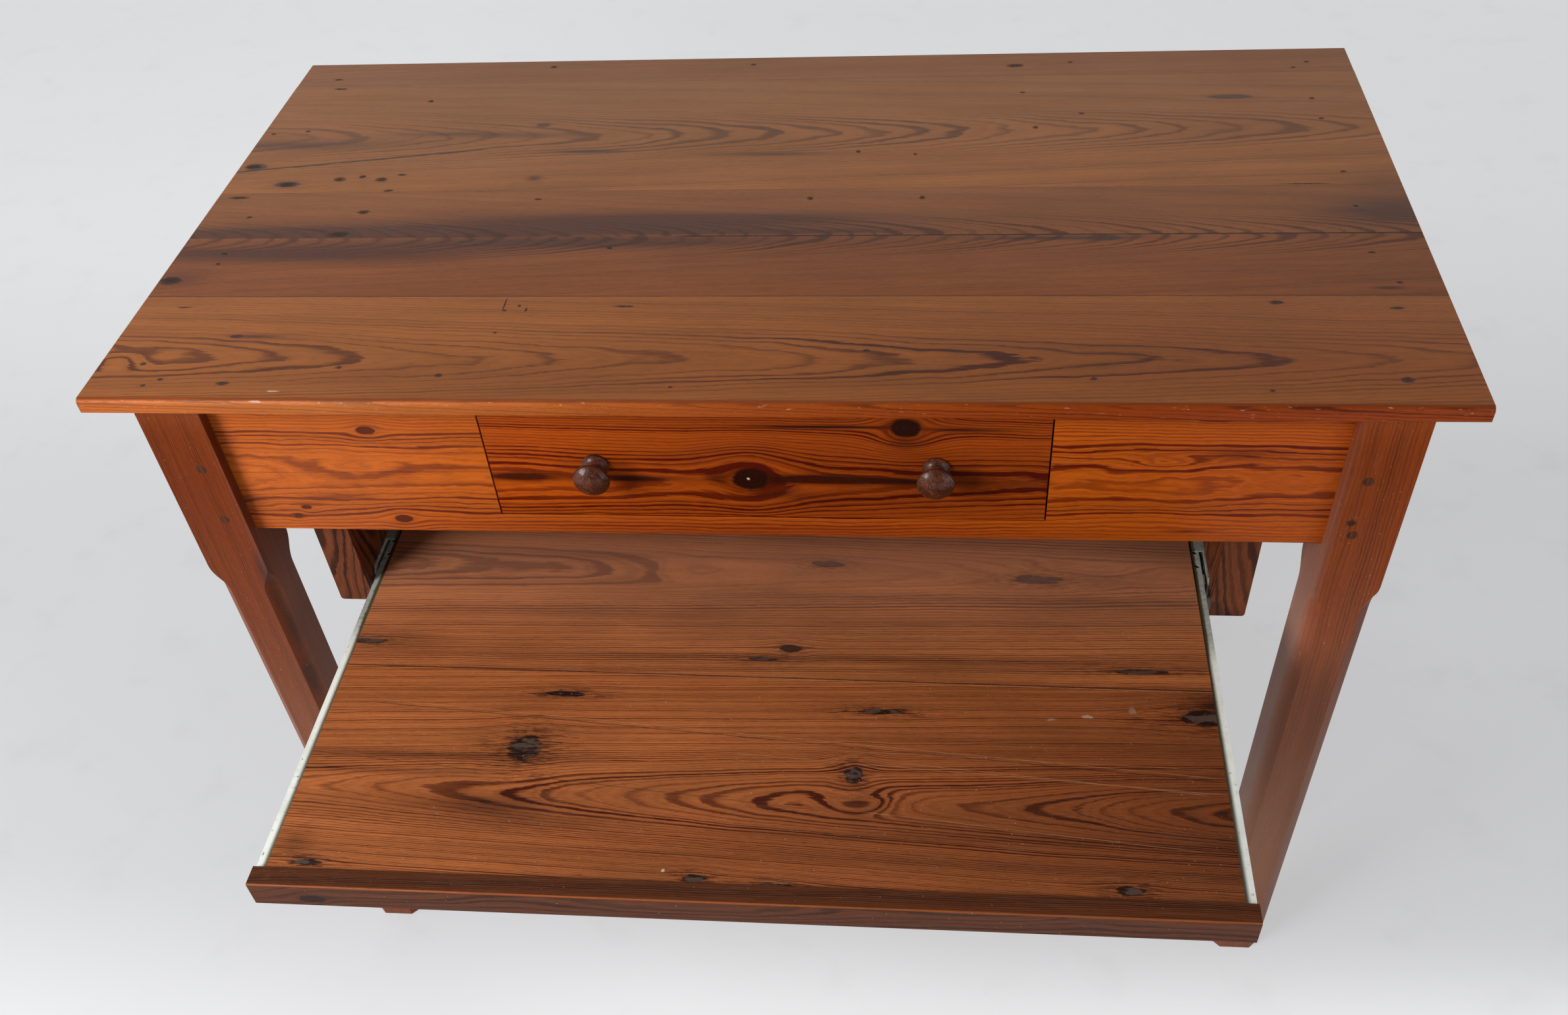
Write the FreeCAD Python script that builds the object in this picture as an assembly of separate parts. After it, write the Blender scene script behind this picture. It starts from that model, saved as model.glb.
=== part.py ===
"""A pine tavern table with one flush drawer and a pull-out tray on roller slides.

All sizes are in millimetres, with +Z up and +X to the sitter's right.  The pieces are
worked out about the centre of the table, then moved so that the origin lies on the floor
at the centre of the whole piece as it stands with its tray pulled out.
"""
import FreeCAD, Part
import math
import os

V = FreeCAD.Vector
PARTS_FOLDER = "parts"

# ---------------------------------------------------------------- driving dimensions
# Table top
table_height = 762.0
top_length = 1084.0
top_depth = 598.0
top_thickness = 13.0
front_board_widths = (147.0, 95.0, 81.0)    # from the front edge back
back_board_width = 52.0         # the widest board fills what is left before it
top_front_round = 4.5
arris_round = 1.2

# Legs
side_overhang = 32.0            # top's end beyond the leg's outer face
front_overhang = 17.0           # top's long edge beyond the leg's face
leg_size = 54.0
leg_chamfer = 11.0
chamfer_stop_drop = 36.0        # apron's lower edge down to the start of the lamb's tongue
chamfer_stop_length = 34.0
foot_round = 1.0

# Aprons and their pegged joints
apron_height = 146.0
apron_thickness = 16.0
apron_recess = 11.0             # apron's face behind the leg's face
tenon_length = 29.0
tenon_thickness = 8.0
tenon_shoulder = 10.0           # cut from the apron's upper and lower edge
peg_diameter = 8.5
peg_length = 28.0
peg_setback = 18.5              # from the leg's inner face to the peg
long_peg_heights = (19.0, 75.0)     # above the lower edge of the front and back aprons
side_peg_heights = (35.0, 59.0)     # above the lower edge of the side aprons
button_groove_depth = 7.0
button_groove_height = 7.0
button_groove_drop = 8.0        # top's underside down to the groove
button_width = 28.0
button_length = 36.0
button_thickness = 14.0
button_inset = 126.0            # button's middle from the leg, along the long aprons
side_button_inset = 108.0       # and along the side aprons
button_play = 0.5               # button's tongue in its groove

# Drawer
opening_width = 461.0
opening_top_rail = 16.0
opening_bottom_rail = 20.0
drawer_side_gap = 1.3
drawer_end_gap = 1.0            # above and below the drawer front
drawer_front_play = 0.4         # drawer front's back face short of the apron's back
drawer_back_space = 96.0        # drawer's back to the back apron
drawer_side_thickness = 12.0
drawer_side_height = 94.0
drawer_side_lap = 11.0          # depth of the rabbet that holds each side
drawer_back_thickness = 12.0
drawer_bottom_thickness = 6.0
drawer_groove_height = 10.0     # side's lower edge up to the bottom board
drawer_groove_depth = 5.0
drawer_runner_play = 0.5        # drawer side above its runner
drawer_guide_play = 1.0
drawer_kicker_play = 1.5
drawer_stop_play = 0.3
runner_tail = 4.0               # runner's reach inside the drawer side
guide_width = 20.0
guide_height = 28.0
stop_length = 20.0
stop_height = 24.0

# Knobs
knob_inset = 89.7               # knob's middle from the drawer front's end
knob_base_radius = 11.2
knob_neck_radius = 6.4
knob_head_radius = 15.2
knob_projection = 27.5
knob_screw_radius = 2.0
knob_screw_head_radius = 4.2
knob_screw_head_height = 2.4
knob_screw_reach = 16.0

# Hangers that carry the tray
hanger_space = 42.5             # leg's inner face to the hanger's outer face
hanger_thickness = 31.0
hanger_drop = 103.0             # apron's lower edge down to the hanger's
hanger_corner_round = 3.0
cleat_size = 20.0
cleat_end_space = 105.0         # cleat's end to the apron

# Roller slides
slide_length = 450.0
slide_gap = 13.0                # hanger's inner face to the tray's edge
sheet = 1.2
channel_flange = 10.5
channel_setback = 2.0           # channel's front behind the closed tray lip
channel_cutback = 40.0          # front stretch with no top flange
rail_top_flange = 7.0
rail_bottom_flange = 12.0
rail_hole_radius = 2.0
rail_hole_offsets = (22.0, 40.0)    # behind the channel's front, with the tray out
roller_width = 7.6
front_roller_radius = 7.3
rear_roller_radius = 8.2
roller_inset = 11.0             # roller's axle from the end of its slide part
roller_play = 0.3
roller_side_play = 1.4
axle_radius = 2.0
axle_play = 0.06
axle_head_radius = 3.4
axle_head_height = 0.8
slide_screw_radius = 1.6
slide_screw_head_radius = 3.2
slide_screw_length = 14.0
slide_screw_inset = 49.0        # first and last screw from the slide's ends
slide_overlap = 117.0           # length that stays inside when the tray is out

# Tray
tray_drop = 81.0                # apron's lower edge down to the tray's surface
tray_thickness = 17.0
tray_board_widths = (210.0, 121.0)  # front to back, the third board is the rest
lip_thickness = 17.0
lip_height = 25.0
lip_proud = 2.0                 # lip above the tray's surface
lip_end_gap = 4.0               # lip's end to the hanger when the tray is in
lip_dowel_radius = 4.0
lip_dowel_length = 22.0
lip_dowel_inset = 38.5          # outermost dowel from the lip's end
lip_dowel_count = 5
batten_inset = 129.5            # batten's middle from the tray's end
batten_width = 45.0
batten_thickness = 18.0
batten_end_gap = 24.0
batten_screw_radius = 2.0
batten_screw_head_radius = 4.0
batten_screw_length = 27.0
batten_screw_inset = 26.0

# Wood screws of the buttons and cleats
wood_screw_radius = 2.0
wood_screw_head_radius = 4.0
wood_screw_head_height = 2.5
wood_screw_bite = 8.0           # screw's reach into the table top

# ---------------------------------------------------------------- places worked out
half_length = top_length / 2
half_depth = top_depth / 2
underside = table_height - top_thickness
leg_outer_x = half_length - side_overhang
leg_outer_y = half_depth - front_overhang
leg_inner_x = leg_outer_x - leg_size
leg_inner_y = leg_outer_y - leg_size
apron_bottom = underside - apron_height
apron_face_y = leg_outer_y - apron_recess
apron_inner_y = apron_face_y - apron_thickness
apron_face_x = leg_outer_x - apron_recess
apron_inner_x = apron_face_x - apron_thickness

opening_bottom = apron_bottom + opening_bottom_rail
opening_top = underside - opening_top_rail
drawer_face_y = -apron_face_y
drawer_half_width = opening_width / 2 - drawer_side_gap
drawer_side_bottom = opening_bottom + drawer_runner_play
drawer_side_top = drawer_side_bottom + drawer_side_height
drawer_back_y = apron_inner_y - drawer_back_space
drawer_front_thickness = apron_thickness - drawer_front_play
drawer_front_back_y = drawer_face_y + drawer_front_thickness
drawer_side_start_y = drawer_front_back_y - drawer_side_lap
drawer_bottom_z = drawer_side_bottom + drawer_groove_height
guide_inner_x = drawer_half_width + drawer_guide_play
guide_outer_x = guide_inner_x + guide_width
runner_inner_x = drawer_half_width - drawer_side_thickness - runner_tail
knob_x = drawer_half_width - knob_inset
knob_height = (opening_bottom + opening_top) / 2

hanger_outer_x = leg_inner_x - hanger_space
hanger_inner_x = hanger_outer_x - hanger_thickness
hanger_front_y = -apron_inner_y
hanger_back_y = apron_inner_y
hanger_bottom = apron_bottom - hanger_drop
cleat_half_length = apron_inner_y - cleat_end_space

tray_top = apron_bottom - tray_drop
tray_underside = tray_top - tray_thickness
tray_half_width = hanger_inner_x - slide_gap
tray_travel = slide_length - slide_overlap
lip_front_y = hanger_front_y - tray_travel
lip_back_y = lip_front_y + lip_thickness
lip_top = tray_top + lip_proud
lip_bottom = lip_top - lip_height
lip_half_length = hanger_inner_x - lip_end_gap
tray_back_y = lip_back_y + slide_length
batten_x = tray_half_width - batten_inset

rail_web_x = tray_half_width + sheet
rail_top = tray_underside + 2 * rear_roller_radius - sheet / 2
front_roller_z = rail_top - sheet - roller_play - front_roller_radius
channel_floor = front_roller_z - front_roller_radius - roller_play
rear_roller_z = channel_floor + roller_play + rear_roller_radius
channel_ceiling = rear_roller_z + rear_roller_radius + 3 * roller_play
channel_front_y = hanger_front_y + lip_thickness + channel_setback
channel_back_y = channel_front_y + slide_length
channel_web_x = hanger_inner_x - sheet
roller_inner_x = rail_web_x + roller_side_play
roller_outer_x = roller_inner_x + roller_width
front_roller_y = channel_front_y + roller_inset
rear_roller_y = tray_back_y - roller_inset
slide_screw_z = (channel_floor + channel_ceiling) / 2
slide_screw_step = slide_length / 2 - slide_screw_inset

origin_shift = V(0, -(lip_front_y + half_depth) / 2, 0)

SIDES = (("left", -1), ("right", 1))
ENDS = (("front", -1), ("back", 1))


# ---------------------------------------------------------------- small helpers
def block(x0, x1, y0, y1, z0, z1):
    """A box between two corners, given in either order."""
    low = V(min(x0, x1), min(y0, y1), min(z0, z1))
    return Part.makeBox(abs(x1 - x0), abs(y1 - y0), abs(z1 - z0), low)


def rod(start, direction, length, radius):
    return Part.makeCylinder(radius, length, start, direction)


def screw(head_top, direction, length, radius, head_radius, head_height):
    """A plain screw: its head starts at head_top and its shank runs along direction."""
    direction = V(direction).normalize()
    head = rod(head_top, direction, head_height, head_radius)
    shank = rod(head_top, direction, length, radius)
    return head.fuse(shank).removeSplitter()


def cut_all(shape, tools):
    for tool in tools:
        shape = shape.cut(tool)
    return shape


def edges_along(shape, test):
    """The shape's straight edges whose two ends both pass the test."""
    found = []
    for edge in shape.Edges:
        ends = [vertex.Point for vertex in edge.Vertexes]
        if len(ends) == 2 and all(test(point) for point in ends):
            found.append(edge)
    return found


def near(a, b):
    return abs(a - b) < 1e-4


def save(name, solids):
    """Write one node; a group of separate solids goes into one compound."""
    placed = []
    for solid in solids:
        copy = solid.copy()
        copy.translate(origin_shift)
        placed.append(copy)
    shape = placed[0] if len(placed) == 1 else Part.makeCompound(placed)
    shape.exportStep(os.path.join(PARTS_FOLDER, name + ".step"))


# ---------------------------------------------------------------- table top
def top_seams():
    """The y of each long edge of the top's boards, from the front edge to the back."""
    seams = [-half_depth]
    for width in front_board_widths:
        seams.append(seams[-1] + width)
    return seams + [half_depth - back_board_width, half_depth]


def top_board(index, seams):
    front, back = seams[index], seams[index + 1]
    board = block(-half_length, half_length, front, back, underside, table_height)
    if index == 0:
        nose = edges_along(board, lambda p: near(p.y, front) and near(p.z, table_height))
        board = board.makeFillet(top_front_round, nose)
        belly = edges_along(board, lambda p: near(p.y, front) and near(p.z, underside))
        return board.makeFillet(arris_round, belly)
    if index == len(seams) - 2:
        board = board.makeFillet(arris_round, edges_along(board, lambda p: near(p.y, back)
                                                          and near(p.z, table_height)))
    return board


# ---------------------------------------------------------------- legs
def corner_wedge(stop_z):
    """What a stopped chamfer takes off a corner that stands along +Z at the origin.

    The wood lies towards +X and +Y.  The cut is full below the stop, then runs out in a
    hollow and a round, the lamb's tongue, over the stop's length.  Its outline is drawn
    in the upright plane through the corner's diagonal.
    """
    deep = leg_chamfer / math.sqrt(2)
    half_run = chamfer_stop_length / 2
    radius = (half_run ** 2 + (deep / 2) ** 2) / deep
    turn = math.asin(half_run / radius)
    low = stop_z - chamfer_stop_length
    past = leg_chamfer          # how far the tool stands out beyond the wood

    def at(inward, z):
        return V(inward / math.sqrt(2), inward / math.sqrt(2), z)

    def hollow(angle):
        return at(deep - radius * (1 - math.cos(angle)), low + radius * math.sin(angle))

    def round_over(angle):
        return at(radius * (1 - math.cos(angle)), stop_z - radius * math.sin(angle))

    curves = [
        Part.LineSegment(at(-past, -past), at(deep, -past)),
        Part.LineSegment(at(deep, -past), at(deep, low)),
        Part.Arc(hollow(0), hollow(turn / 2), hollow(turn)),
        Part.Arc(round_over(turn), round_over(turn / 2), round_over(0)),
        Part.LineSegment(at(0, stop_z), at(-past, stop_z)),
        Part.LineSegment(at(-past, stop_z), at(-past, -past)),
    ]
    outline = Part.Face(Part.Wire([curve.toShape() for curve in curves]))
    across = V(-2 * leg_chamfer, 2 * leg_chamfer, 0)
    outline.translate(across * -0.5)
    return outline.extrude(across)


def leg_blank():
    """A leg with its outer corner at the origin and its wood towards +X and +Y."""
    leg = block(0, leg_size, 0, leg_size, 0, underside)
    wedge = corner_wedge(apron_bottom - chamfer_stop_drop)
    middle = V(leg_size / 2, leg_size / 2, 0)
    for quarter in range(4):
        turned = wedge.copy()
        turned.rotate(middle, V(0, 0, 1), 90 * quarter)
        leg = leg.cut(turned)
    foot = [edge for edge in leg.Edges if all(near(v.Point.z, 0) for v in edge.Vertexes)]
    return leg.makeFillet(foot_round, foot)


def leg(side, end, cuts):
    """One leg in its corner: side is -1 on the left, end is -1 at the front."""
    post = leg_blank()
    middle = V(leg_size / 2, leg_size / 2, 0)
    quarter = {(-1, -1): 0, (1, -1): 1, (1, 1): 2, (-1, 1): 3}[(side, end)]
    post.rotate(middle, V(0, 0, 1), 90 * quarter)
    corner = V(min(side * leg_outer_x, side * leg_inner_x), min(end * leg_outer_y, end * leg_inner_y), 0)
    post.translate(corner)
    return cut_all(post, cuts)


# ---------------------------------------------------------------- aprons
def long_apron(end):
    """The front or back apron with a tenon at each end and a groove for the buttons."""
    face, inner = end * apron_face_y, end * apron_inner_y
    board = block(-leg_inner_x, leg_inner_x, face, inner, apron_bottom, underside)
    middle = (face + inner) / 2
    reach = leg_inner_x + tenon_length
    tenon = block(-reach, reach, middle - tenon_thickness / 2, middle + tenon_thickness / 2,
                  apron_bottom + tenon_shoulder, underside - tenon_shoulder)
    board = board.fuse(tenon).removeSplitter()
    groove_top = underside - button_groove_drop
    groove = block(-leg_inner_x, leg_inner_x, inner, inner + end * button_groove_depth,
                   groove_top - button_groove_height, groove_top)
    return board.cut(groove)


def side_apron(side):
    face, inner = side * apron_face_x, side * apron_inner_x
    board = block(face, inner, -leg_inner_y, leg_inner_y, apron_bottom, underside)
    middle = (face + inner) / 2
    reach = leg_inner_y + tenon_length
    tenon = block(middle - tenon_thickness / 2, middle + tenon_thickness / 2, -reach, reach,
                  apron_bottom + tenon_shoulder, underside - tenon_shoulder)
    board = board.fuse(tenon).removeSplitter()
    groove_top = underside - button_groove_drop
    groove = block(inner, inner + side * button_groove_depth, -leg_inner_y, leg_inner_y,
                   groove_top - button_groove_height, groove_top)
    return board.cut(groove)


def peg_solids():
    """Every peg with the names of the leg and the apron that it holds together."""
    pegs = []
    for end_name, end in ENDS:
        for side_name, side in SIDES:
            leg_name = "leg_%s_%s" % (end_name, side_name)
            for height in long_peg_heights:
                start = V(side * (leg_inner_x + peg_setback), end * leg_outer_y, apron_bottom + height)
                peg = rod(start, V(0, -end, 0), peg_length, peg_diameter / 2)
                pegs.append((leg_name, end_name + "_apron", peg))
            for height in side_peg_heights:
                start = V(side * leg_outer_x, end * (leg_inner_y + peg_setback), apron_bottom + height)
                peg = rod(start, V(-side, 0, 0), peg_length, peg_diameter / 2)
                pegs.append((leg_name, "side_apron_" + side_name, peg))
    return pegs


def button_places():
    """Where each button's shoulder meets an apron, and the way that it points outwards."""
    far_x = leg_inner_x - button_inset
    far_y = leg_inner_y - side_button_inset
    places = [(V(x, apron_inner_y, 0), V(0, 1, 0)) for x in (-far_x, 0, far_x)]
    places += [(V(x, -apron_inner_y, 0), V(0, -1, 0)) for x in (-far_x, far_x)]
    for side in (-1, 1):
        for y in (-far_y, far_y):
            places.append((V(side * apron_inner_x, y, 0), V(side, 0, 0)))
    return places


def button_pieces():
    """Wooden buttons that hold the top down, and the screw of each."""
    buttons, screws = [], []
    groove_top = underside - button_groove_drop
    groove_bottom = groove_top - button_groove_height
    for foot, outward in button_places():
        body = block(-button_length, 0, -button_width / 2, button_width / 2,
                     underside - button_thickness, underside)
        tongue = block(0, button_groove_depth - button_play, -button_width / 2, button_width / 2,
                       groove_bottom + button_play, groove_top - button_play)
        button = body.fuse(tongue).removeSplitter()
        head_top = V(-button_length / 2, 0, underside - button_thickness)
        fixing = screw(head_top, V(0, 0, 1), button_thickness + wood_screw_bite,
                       wood_screw_radius, wood_screw_head_radius, wood_screw_head_height)
        angle = math.degrees(math.atan2(outward.y, outward.x))
        for piece in (button, fixing):
            piece.rotate(V(0, 0, 0), V(0, 0, 1), angle)
            piece.translate(foot)
        buttons.append(button.cut(fixing))
        screws.append(fixing)
    return buttons, screws


# ---------------------------------------------------------------- drawer
def drawer_opening():
    return block(-opening_width / 2, opening_width / 2, -apron_face_y, -apron_inner_y,
                 opening_bottom, opening_top)


def drawer_side(side):
    outer = side * drawer_half_width
    inner = outer - side * drawer_side_thickness
    board = block(outer, inner, drawer_side_start_y, drawer_back_y, drawer_side_bottom, drawer_side_top)
    return board


def drawer_back():
    inner = drawer_half_width - drawer_side_thickness
    return block(-inner, inner, drawer_back_y - drawer_back_thickness, drawer_back_y,
                 drawer_bottom_z + drawer_bottom_thickness, drawer_side_top)


def drawer_bottom():
    """The bottom board, held in grooves of the sides and the front and under the back."""
    reach = drawer_half_width - drawer_side_thickness + drawer_groove_depth
    return block(-reach, reach, drawer_front_back_y - drawer_groove_depth, drawer_back_y,
                 drawer_bottom_z, drawer_bottom_z + drawer_bottom_thickness)


def drawer_front():
    return block(-drawer_half_width, drawer_half_width, drawer_face_y, drawer_front_back_y,
                 opening_bottom + drawer_end_gap, opening_top - drawer_end_gap)


def knob(side):
    """A turned knob: ringed foot, hollow neck, bead and a low domed head."""
    base, neck, head, out = knob_base_radius, knob_neck_radius, knob_head_radius, knob_projection
    foot = 0.075 * out
    bead = 0.44 * out
    cap_radius, cap_height = 0.9 * head, 0.2 * out
    dome_radius = (cap_radius ** 2 + cap_height ** 2) / (2 * cap_height)
    half_turn = math.asin(cap_radius / dome_radius) / 2

    def at(radius, distance):
        return V(radius, -distance, 0)

    dome_middle = at(dome_radius * math.sin(half_turn), out - dome_radius * (1 - math.cos(half_turn)))
    ring, waist = at(0.86 * base, 1.35 * foot), at(neck, 0.36 * out)
    under_rim, over_rim = at(0.86 * head, 0.61 * out), at(cap_radius, out - cap_height)
    curves = [
        Part.LineSegment(at(0, 0), at(base, 0)),
        Part.LineSegment(at(base, 0), at(base, foot)),
        Part.LineSegment(at(base, foot), ring),
        Part.Arc(ring, at(1.02 * neck, 0.24 * out), waist),
        Part.Arc(waist, at(1.16 * neck, 0.40 * out), at(neck, bead)),
        Part.Arc(at(neck, bead), at(0.56 * head, 0.50 * out), under_rim),
        Part.Arc(under_rim, at(head, 0.70 * out), over_rim),
        Part.Arc(over_rim, dome_middle, at(0, out)),
        Part.LineSegment(at(0, out), at(0, 0)),
    ]
    wire = Part.Wire([curve.toShape() for curve in curves])
    turned = Part.Face(wire).revolve(V(0, 0, 0), V(0, 1, 0), 360)
    turned.translate(V(side * knob_x, drawer_face_y, knob_height))
    return turned


def knob_screw(side):
    head_top = V(side * knob_x, drawer_front_back_y + knob_screw_head_height, knob_height)
    length = knob_screw_head_height + drawer_front_thickness + knob_screw_reach
    return screw(head_top, V(0, -1, 0), length, knob_screw_radius,
                 knob_screw_head_radius, knob_screw_head_height)


def runner(side):
    return block(side * runner_inner_x, side * guide_outer_x, -apron_inner_y, apron_inner_y,
                 apron_bottom, opening_bottom)


def guide(side):
    return block(side * guide_inner_x, side * guide_outer_x, -apron_inner_y, apron_inner_y,
                 opening_bottom, opening_bottom + guide_height)


def kicker(side):
    return block(side * runner_inner_x, side * guide_outer_x, -apron_inner_y, apron_inner_y,
                 drawer_side_top + drawer_kicker_play, underside)


def drawer_stop(side):
    start = drawer_back_y + drawer_stop_play
    return block(side * runner_inner_x, side * guide_inner_x, start, start + stop_length,
                 opening_bottom, opening_bottom + stop_height)


# ---------------------------------------------------------------- hangers and slides
def hanger(side):
    plank = block(side * hanger_inner_x, side * hanger_outer_x, hanger_front_y, hanger_back_y,
                  hanger_bottom, underside)
    lower = edges_along(plank, lambda p: near(p.x, side * hanger_outer_x) and near(p.z, hanger_bottom))
    return plank.makeFillet(hanger_corner_round, lower)


def cleat(side):
    return block(side * hanger_outer_x, side * (hanger_outer_x + cleat_size),
                 -cleat_half_length, cleat_half_length, underside - cleat_size, underside)


def cleat_screws(side):
    """Screws up into the top and screws sideways into the hanger."""
    screws = []
    middle_x = side * (hanger_outer_x + cleat_size / 2)
    for step in (-1, 0, 1):
        y = step * cleat_half_length * 2 / 3
        screws.append(screw(V(middle_x, y, underside - cleat_size), V(0, 0, 1),
                            cleat_size + wood_screw_bite, wood_screw_radius,
                            wood_screw_head_radius, wood_screw_head_height))
    for step in (-1, 1):
        y = step * cleat_half_length / 3
        start = V(side * (hanger_outer_x + cleat_size), y, underside - cleat_size / 2)
        screws.append(screw(start, V(-side, 0, 0), cleat_size + hanger_thickness / 2,
                            wood_screw_radius, wood_screw_head_radius, wood_screw_head_height))
    return screws


def channel(side):
    """The fixed half of a slide: a C of folded sheet that opens towards the tray."""
    outer, web = side * hanger_inner_x, side * channel_web_x
    tip = side * (hanger_inner_x - channel_flange)
    low, high = channel_floor - sheet, channel_ceiling + sheet
    back = block(outer, web, channel_front_y, channel_back_y, low, high)
    floor = block(outer, tip, channel_front_y, channel_back_y, low, channel_floor)
    ceiling = block(outer, tip, channel_front_y + channel_cutback, channel_back_y, channel_ceiling, high)
    shape = back.fuse([floor, ceiling]).removeSplitter()
    corner = edges_along(shape, lambda p: near(p.z, high) and near(p.y, channel_front_y))
    return shape.makeFillet(rear_roller_radius, corner)


def channel_screws(side):
    """Flat-headed screws that stand flush in the channel's web."""
    middle = (channel_front_y + channel_back_y) / 2
    return [screw(V(side * channel_web_x, middle + step * slide_screw_step, slide_screw_z),
                  V(side, 0, 0), slide_screw_length, slide_screw_radius,
                  slide_screw_head_radius, sheet) for step in (-1, 0, 1)]


def rail(side):
    """The tray's half of a slide: a web with a flange over the roller and one below."""
    inner, web = side * tray_half_width, side * rail_web_x
    back = block(inner, web, lip_back_y, tray_back_y, tray_underside - sheet, rail_top)
    top_end = rear_roller_y - rear_roller_radius - 4 * roller_play
    top = block(inner, side * (rail_web_x + rail_top_flange), lip_back_y, top_end,
                rail_top - sheet, rail_top)
    foot = block(web, side * (tray_half_width - rail_bottom_flange), lip_back_y, tray_back_y,
                 tray_underside - sheet, tray_underside)
    shape = back.fuse([top, foot]).removeSplitter()
    x = side * (rail_web_x + rail_top_flange / 2)
    for offset in rail_hole_offsets:
        shape = shape.cut(rod(V(x, channel_front_y + offset, rail_top - 2 * sheet), V(0, 0, 1),
                              3 * sheet, rail_hole_radius))
    return shape


def rail_screws(side):
    x = side * (tray_half_width - rail_bottom_flange / 2)
    middle = (lip_back_y + tray_back_y) / 2
    length = 2 * sheet + 0.6 * tray_thickness
    return [screw(V(x, middle + step * slide_screw_step, tray_underside - 2 * sheet),
                  V(0, 0, 1), length, slide_screw_radius,
                  slide_screw_head_radius, sheet) for step in (-1, 0, 1)]


def roller(side, y, z, radius):
    """A nylon roller with its running bore."""
    start = V(side * roller_inner_x, y, z)
    wheel = rod(start, V(side, 0, 0), roller_width, radius)
    rims = [edge for edge in wheel.Edges if near(edge.Length, 2 * math.pi * radius)]
    wheel = wheel.makeFillet(0.6, rims)
    return wheel.cut(rod(start, V(side, 0, 0), roller_width, axle_radius + axle_play))


def axle(side, y, z, riveted_x, far_x):
    """A riveted axle: its shank starts in riveted_x's web and its head keeps the roller on."""
    way = V(far_x - riveted_x, 0, 0).normalize()
    reach = abs(far_x - riveted_x)
    shank = rod(V(riveted_x, y, z), way, reach, axle_radius)
    head = rod(V(far_x, y, z), way, axle_head_height, axle_head_radius)
    return shank.fuse(head).removeSplitter()


def front_axle(side):
    tip = side * (roller_inner_x - axle_play)
    return axle(side, front_roller_y, front_roller_z, side * hanger_inner_x, tip)


def rear_axle(side):
    tip = side * (roller_outer_x + axle_play)
    return axle(side, rear_roller_y, rear_roller_z, side * tray_half_width, tip)


# ---------------------------------------------------------------- tray
def tray_seams():
    seams = [lip_back_y]
    for width in tray_board_widths:
        seams.append(seams[-1] + width)
    seams.append(tray_back_y)
    return seams


def tray_board(index, seams):
    board = block(-tray_half_width, tray_half_width, seams[index], seams[index + 1],
                  tray_underside, tray_top)
    return board


def tray_lip():
    lip = block(-lip_half_length, lip_half_length, lip_front_y, lip_back_y, lip_bottom, lip_top)
    upper = edges_along(lip, lambda p: near(p.y, lip_front_y) and near(p.z, lip_top))
    return lip.makeFillet(arris_round, upper)


def lip_dowels():
    z = (tray_underside + tray_top) / 2
    first = -(lip_half_length - lip_dowel_inset)
    step = -2 * first / (lip_dowel_count - 1)
    return [rod(V(first + number * step, lip_back_y - lip_dowel_length / 2, z), V(0, 1, 0),
                lip_dowel_length, lip_dowel_radius) for number in range(lip_dowel_count)]


def batten(side):
    x = side * batten_x
    return block(x - batten_width / 2, x + batten_width / 2, lip_back_y + batten_end_gap,
                 tray_back_y - batten_end_gap, tray_underside - batten_thickness, tray_underside)


def batten_screws(side, seams):
    screws = []
    z = tray_underside - batten_thickness
    ends = [lip_back_y + batten_end_gap] + seams[1:-1] + [tray_back_y - batten_end_gap]
    for low, high in zip(ends[:-1], ends[1:]):
        for y in (low + batten_screw_inset, high - batten_screw_inset):
            screws.append(screw(V(side * batten_x, y, z), V(0, 0, 1), batten_screw_length,
                                batten_screw_radius, batten_screw_head_radius, wood_screw_head_height))
    return screws


# ---------------------------------------------------------------- assembly
def build_frame():
    pegs = peg_solids()
    aprons = {"front_apron": long_apron(-1).cut(drawer_opening()), "back_apron": long_apron(1),
              "side_apron_left": side_apron(-1), "side_apron_right": side_apron(1)}
    for end_name, end in ENDS:
        for side_name, side in SIDES:
            name = "leg_%s_%s" % (end_name, side_name)
            cuts = [aprons[end_name + "_apron"], aprons["side_apron_" + side_name]]
            cuts += [peg for leg_name, apron_name, peg in pegs if leg_name == name]
            save(name, [leg(side, end, cuts)])
    for name, board in aprons.items():
        save(name, [cut_all(board, [peg for leg_name, apron_name, peg in pegs if apron_name == name])])
    save("joint_pegs", [peg for leg_name, apron_name, peg in pegs])


def build_top():
    buttons, button_fixings = button_pieces()
    cleats, cleat_fixings = [], []
    for name, side in SIDES:
        fixings = cleat_screws(side)
        cleats.append(cut_all(cleat(side), fixings))
        cleat_fixings += fixings
        slide_fixings = channel_screws(side)
        save("tray_hanger_" + name, [cut_all(hanger(side), fixings + slide_fixings)])
        web = cut_all(channel(side), slide_fixings + [front_axle(side)])
        save("slide_channel_" + name, [web])
    save("hanger_cleats", cleats)
    save("cleat_screws", cleat_fixings)
    save("channel_screws", [fixing for name, side in SIDES for fixing in channel_screws(side)])
    save("top_buttons", buttons)
    save("button_screws", button_fixings)
    seams = top_seams()
    for index in range(len(seams) - 1):
        board = cut_all(top_board(index, seams), button_fixings + cleat_fixings)
        save("top_board_%d" % (index + 1), [board])


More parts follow.
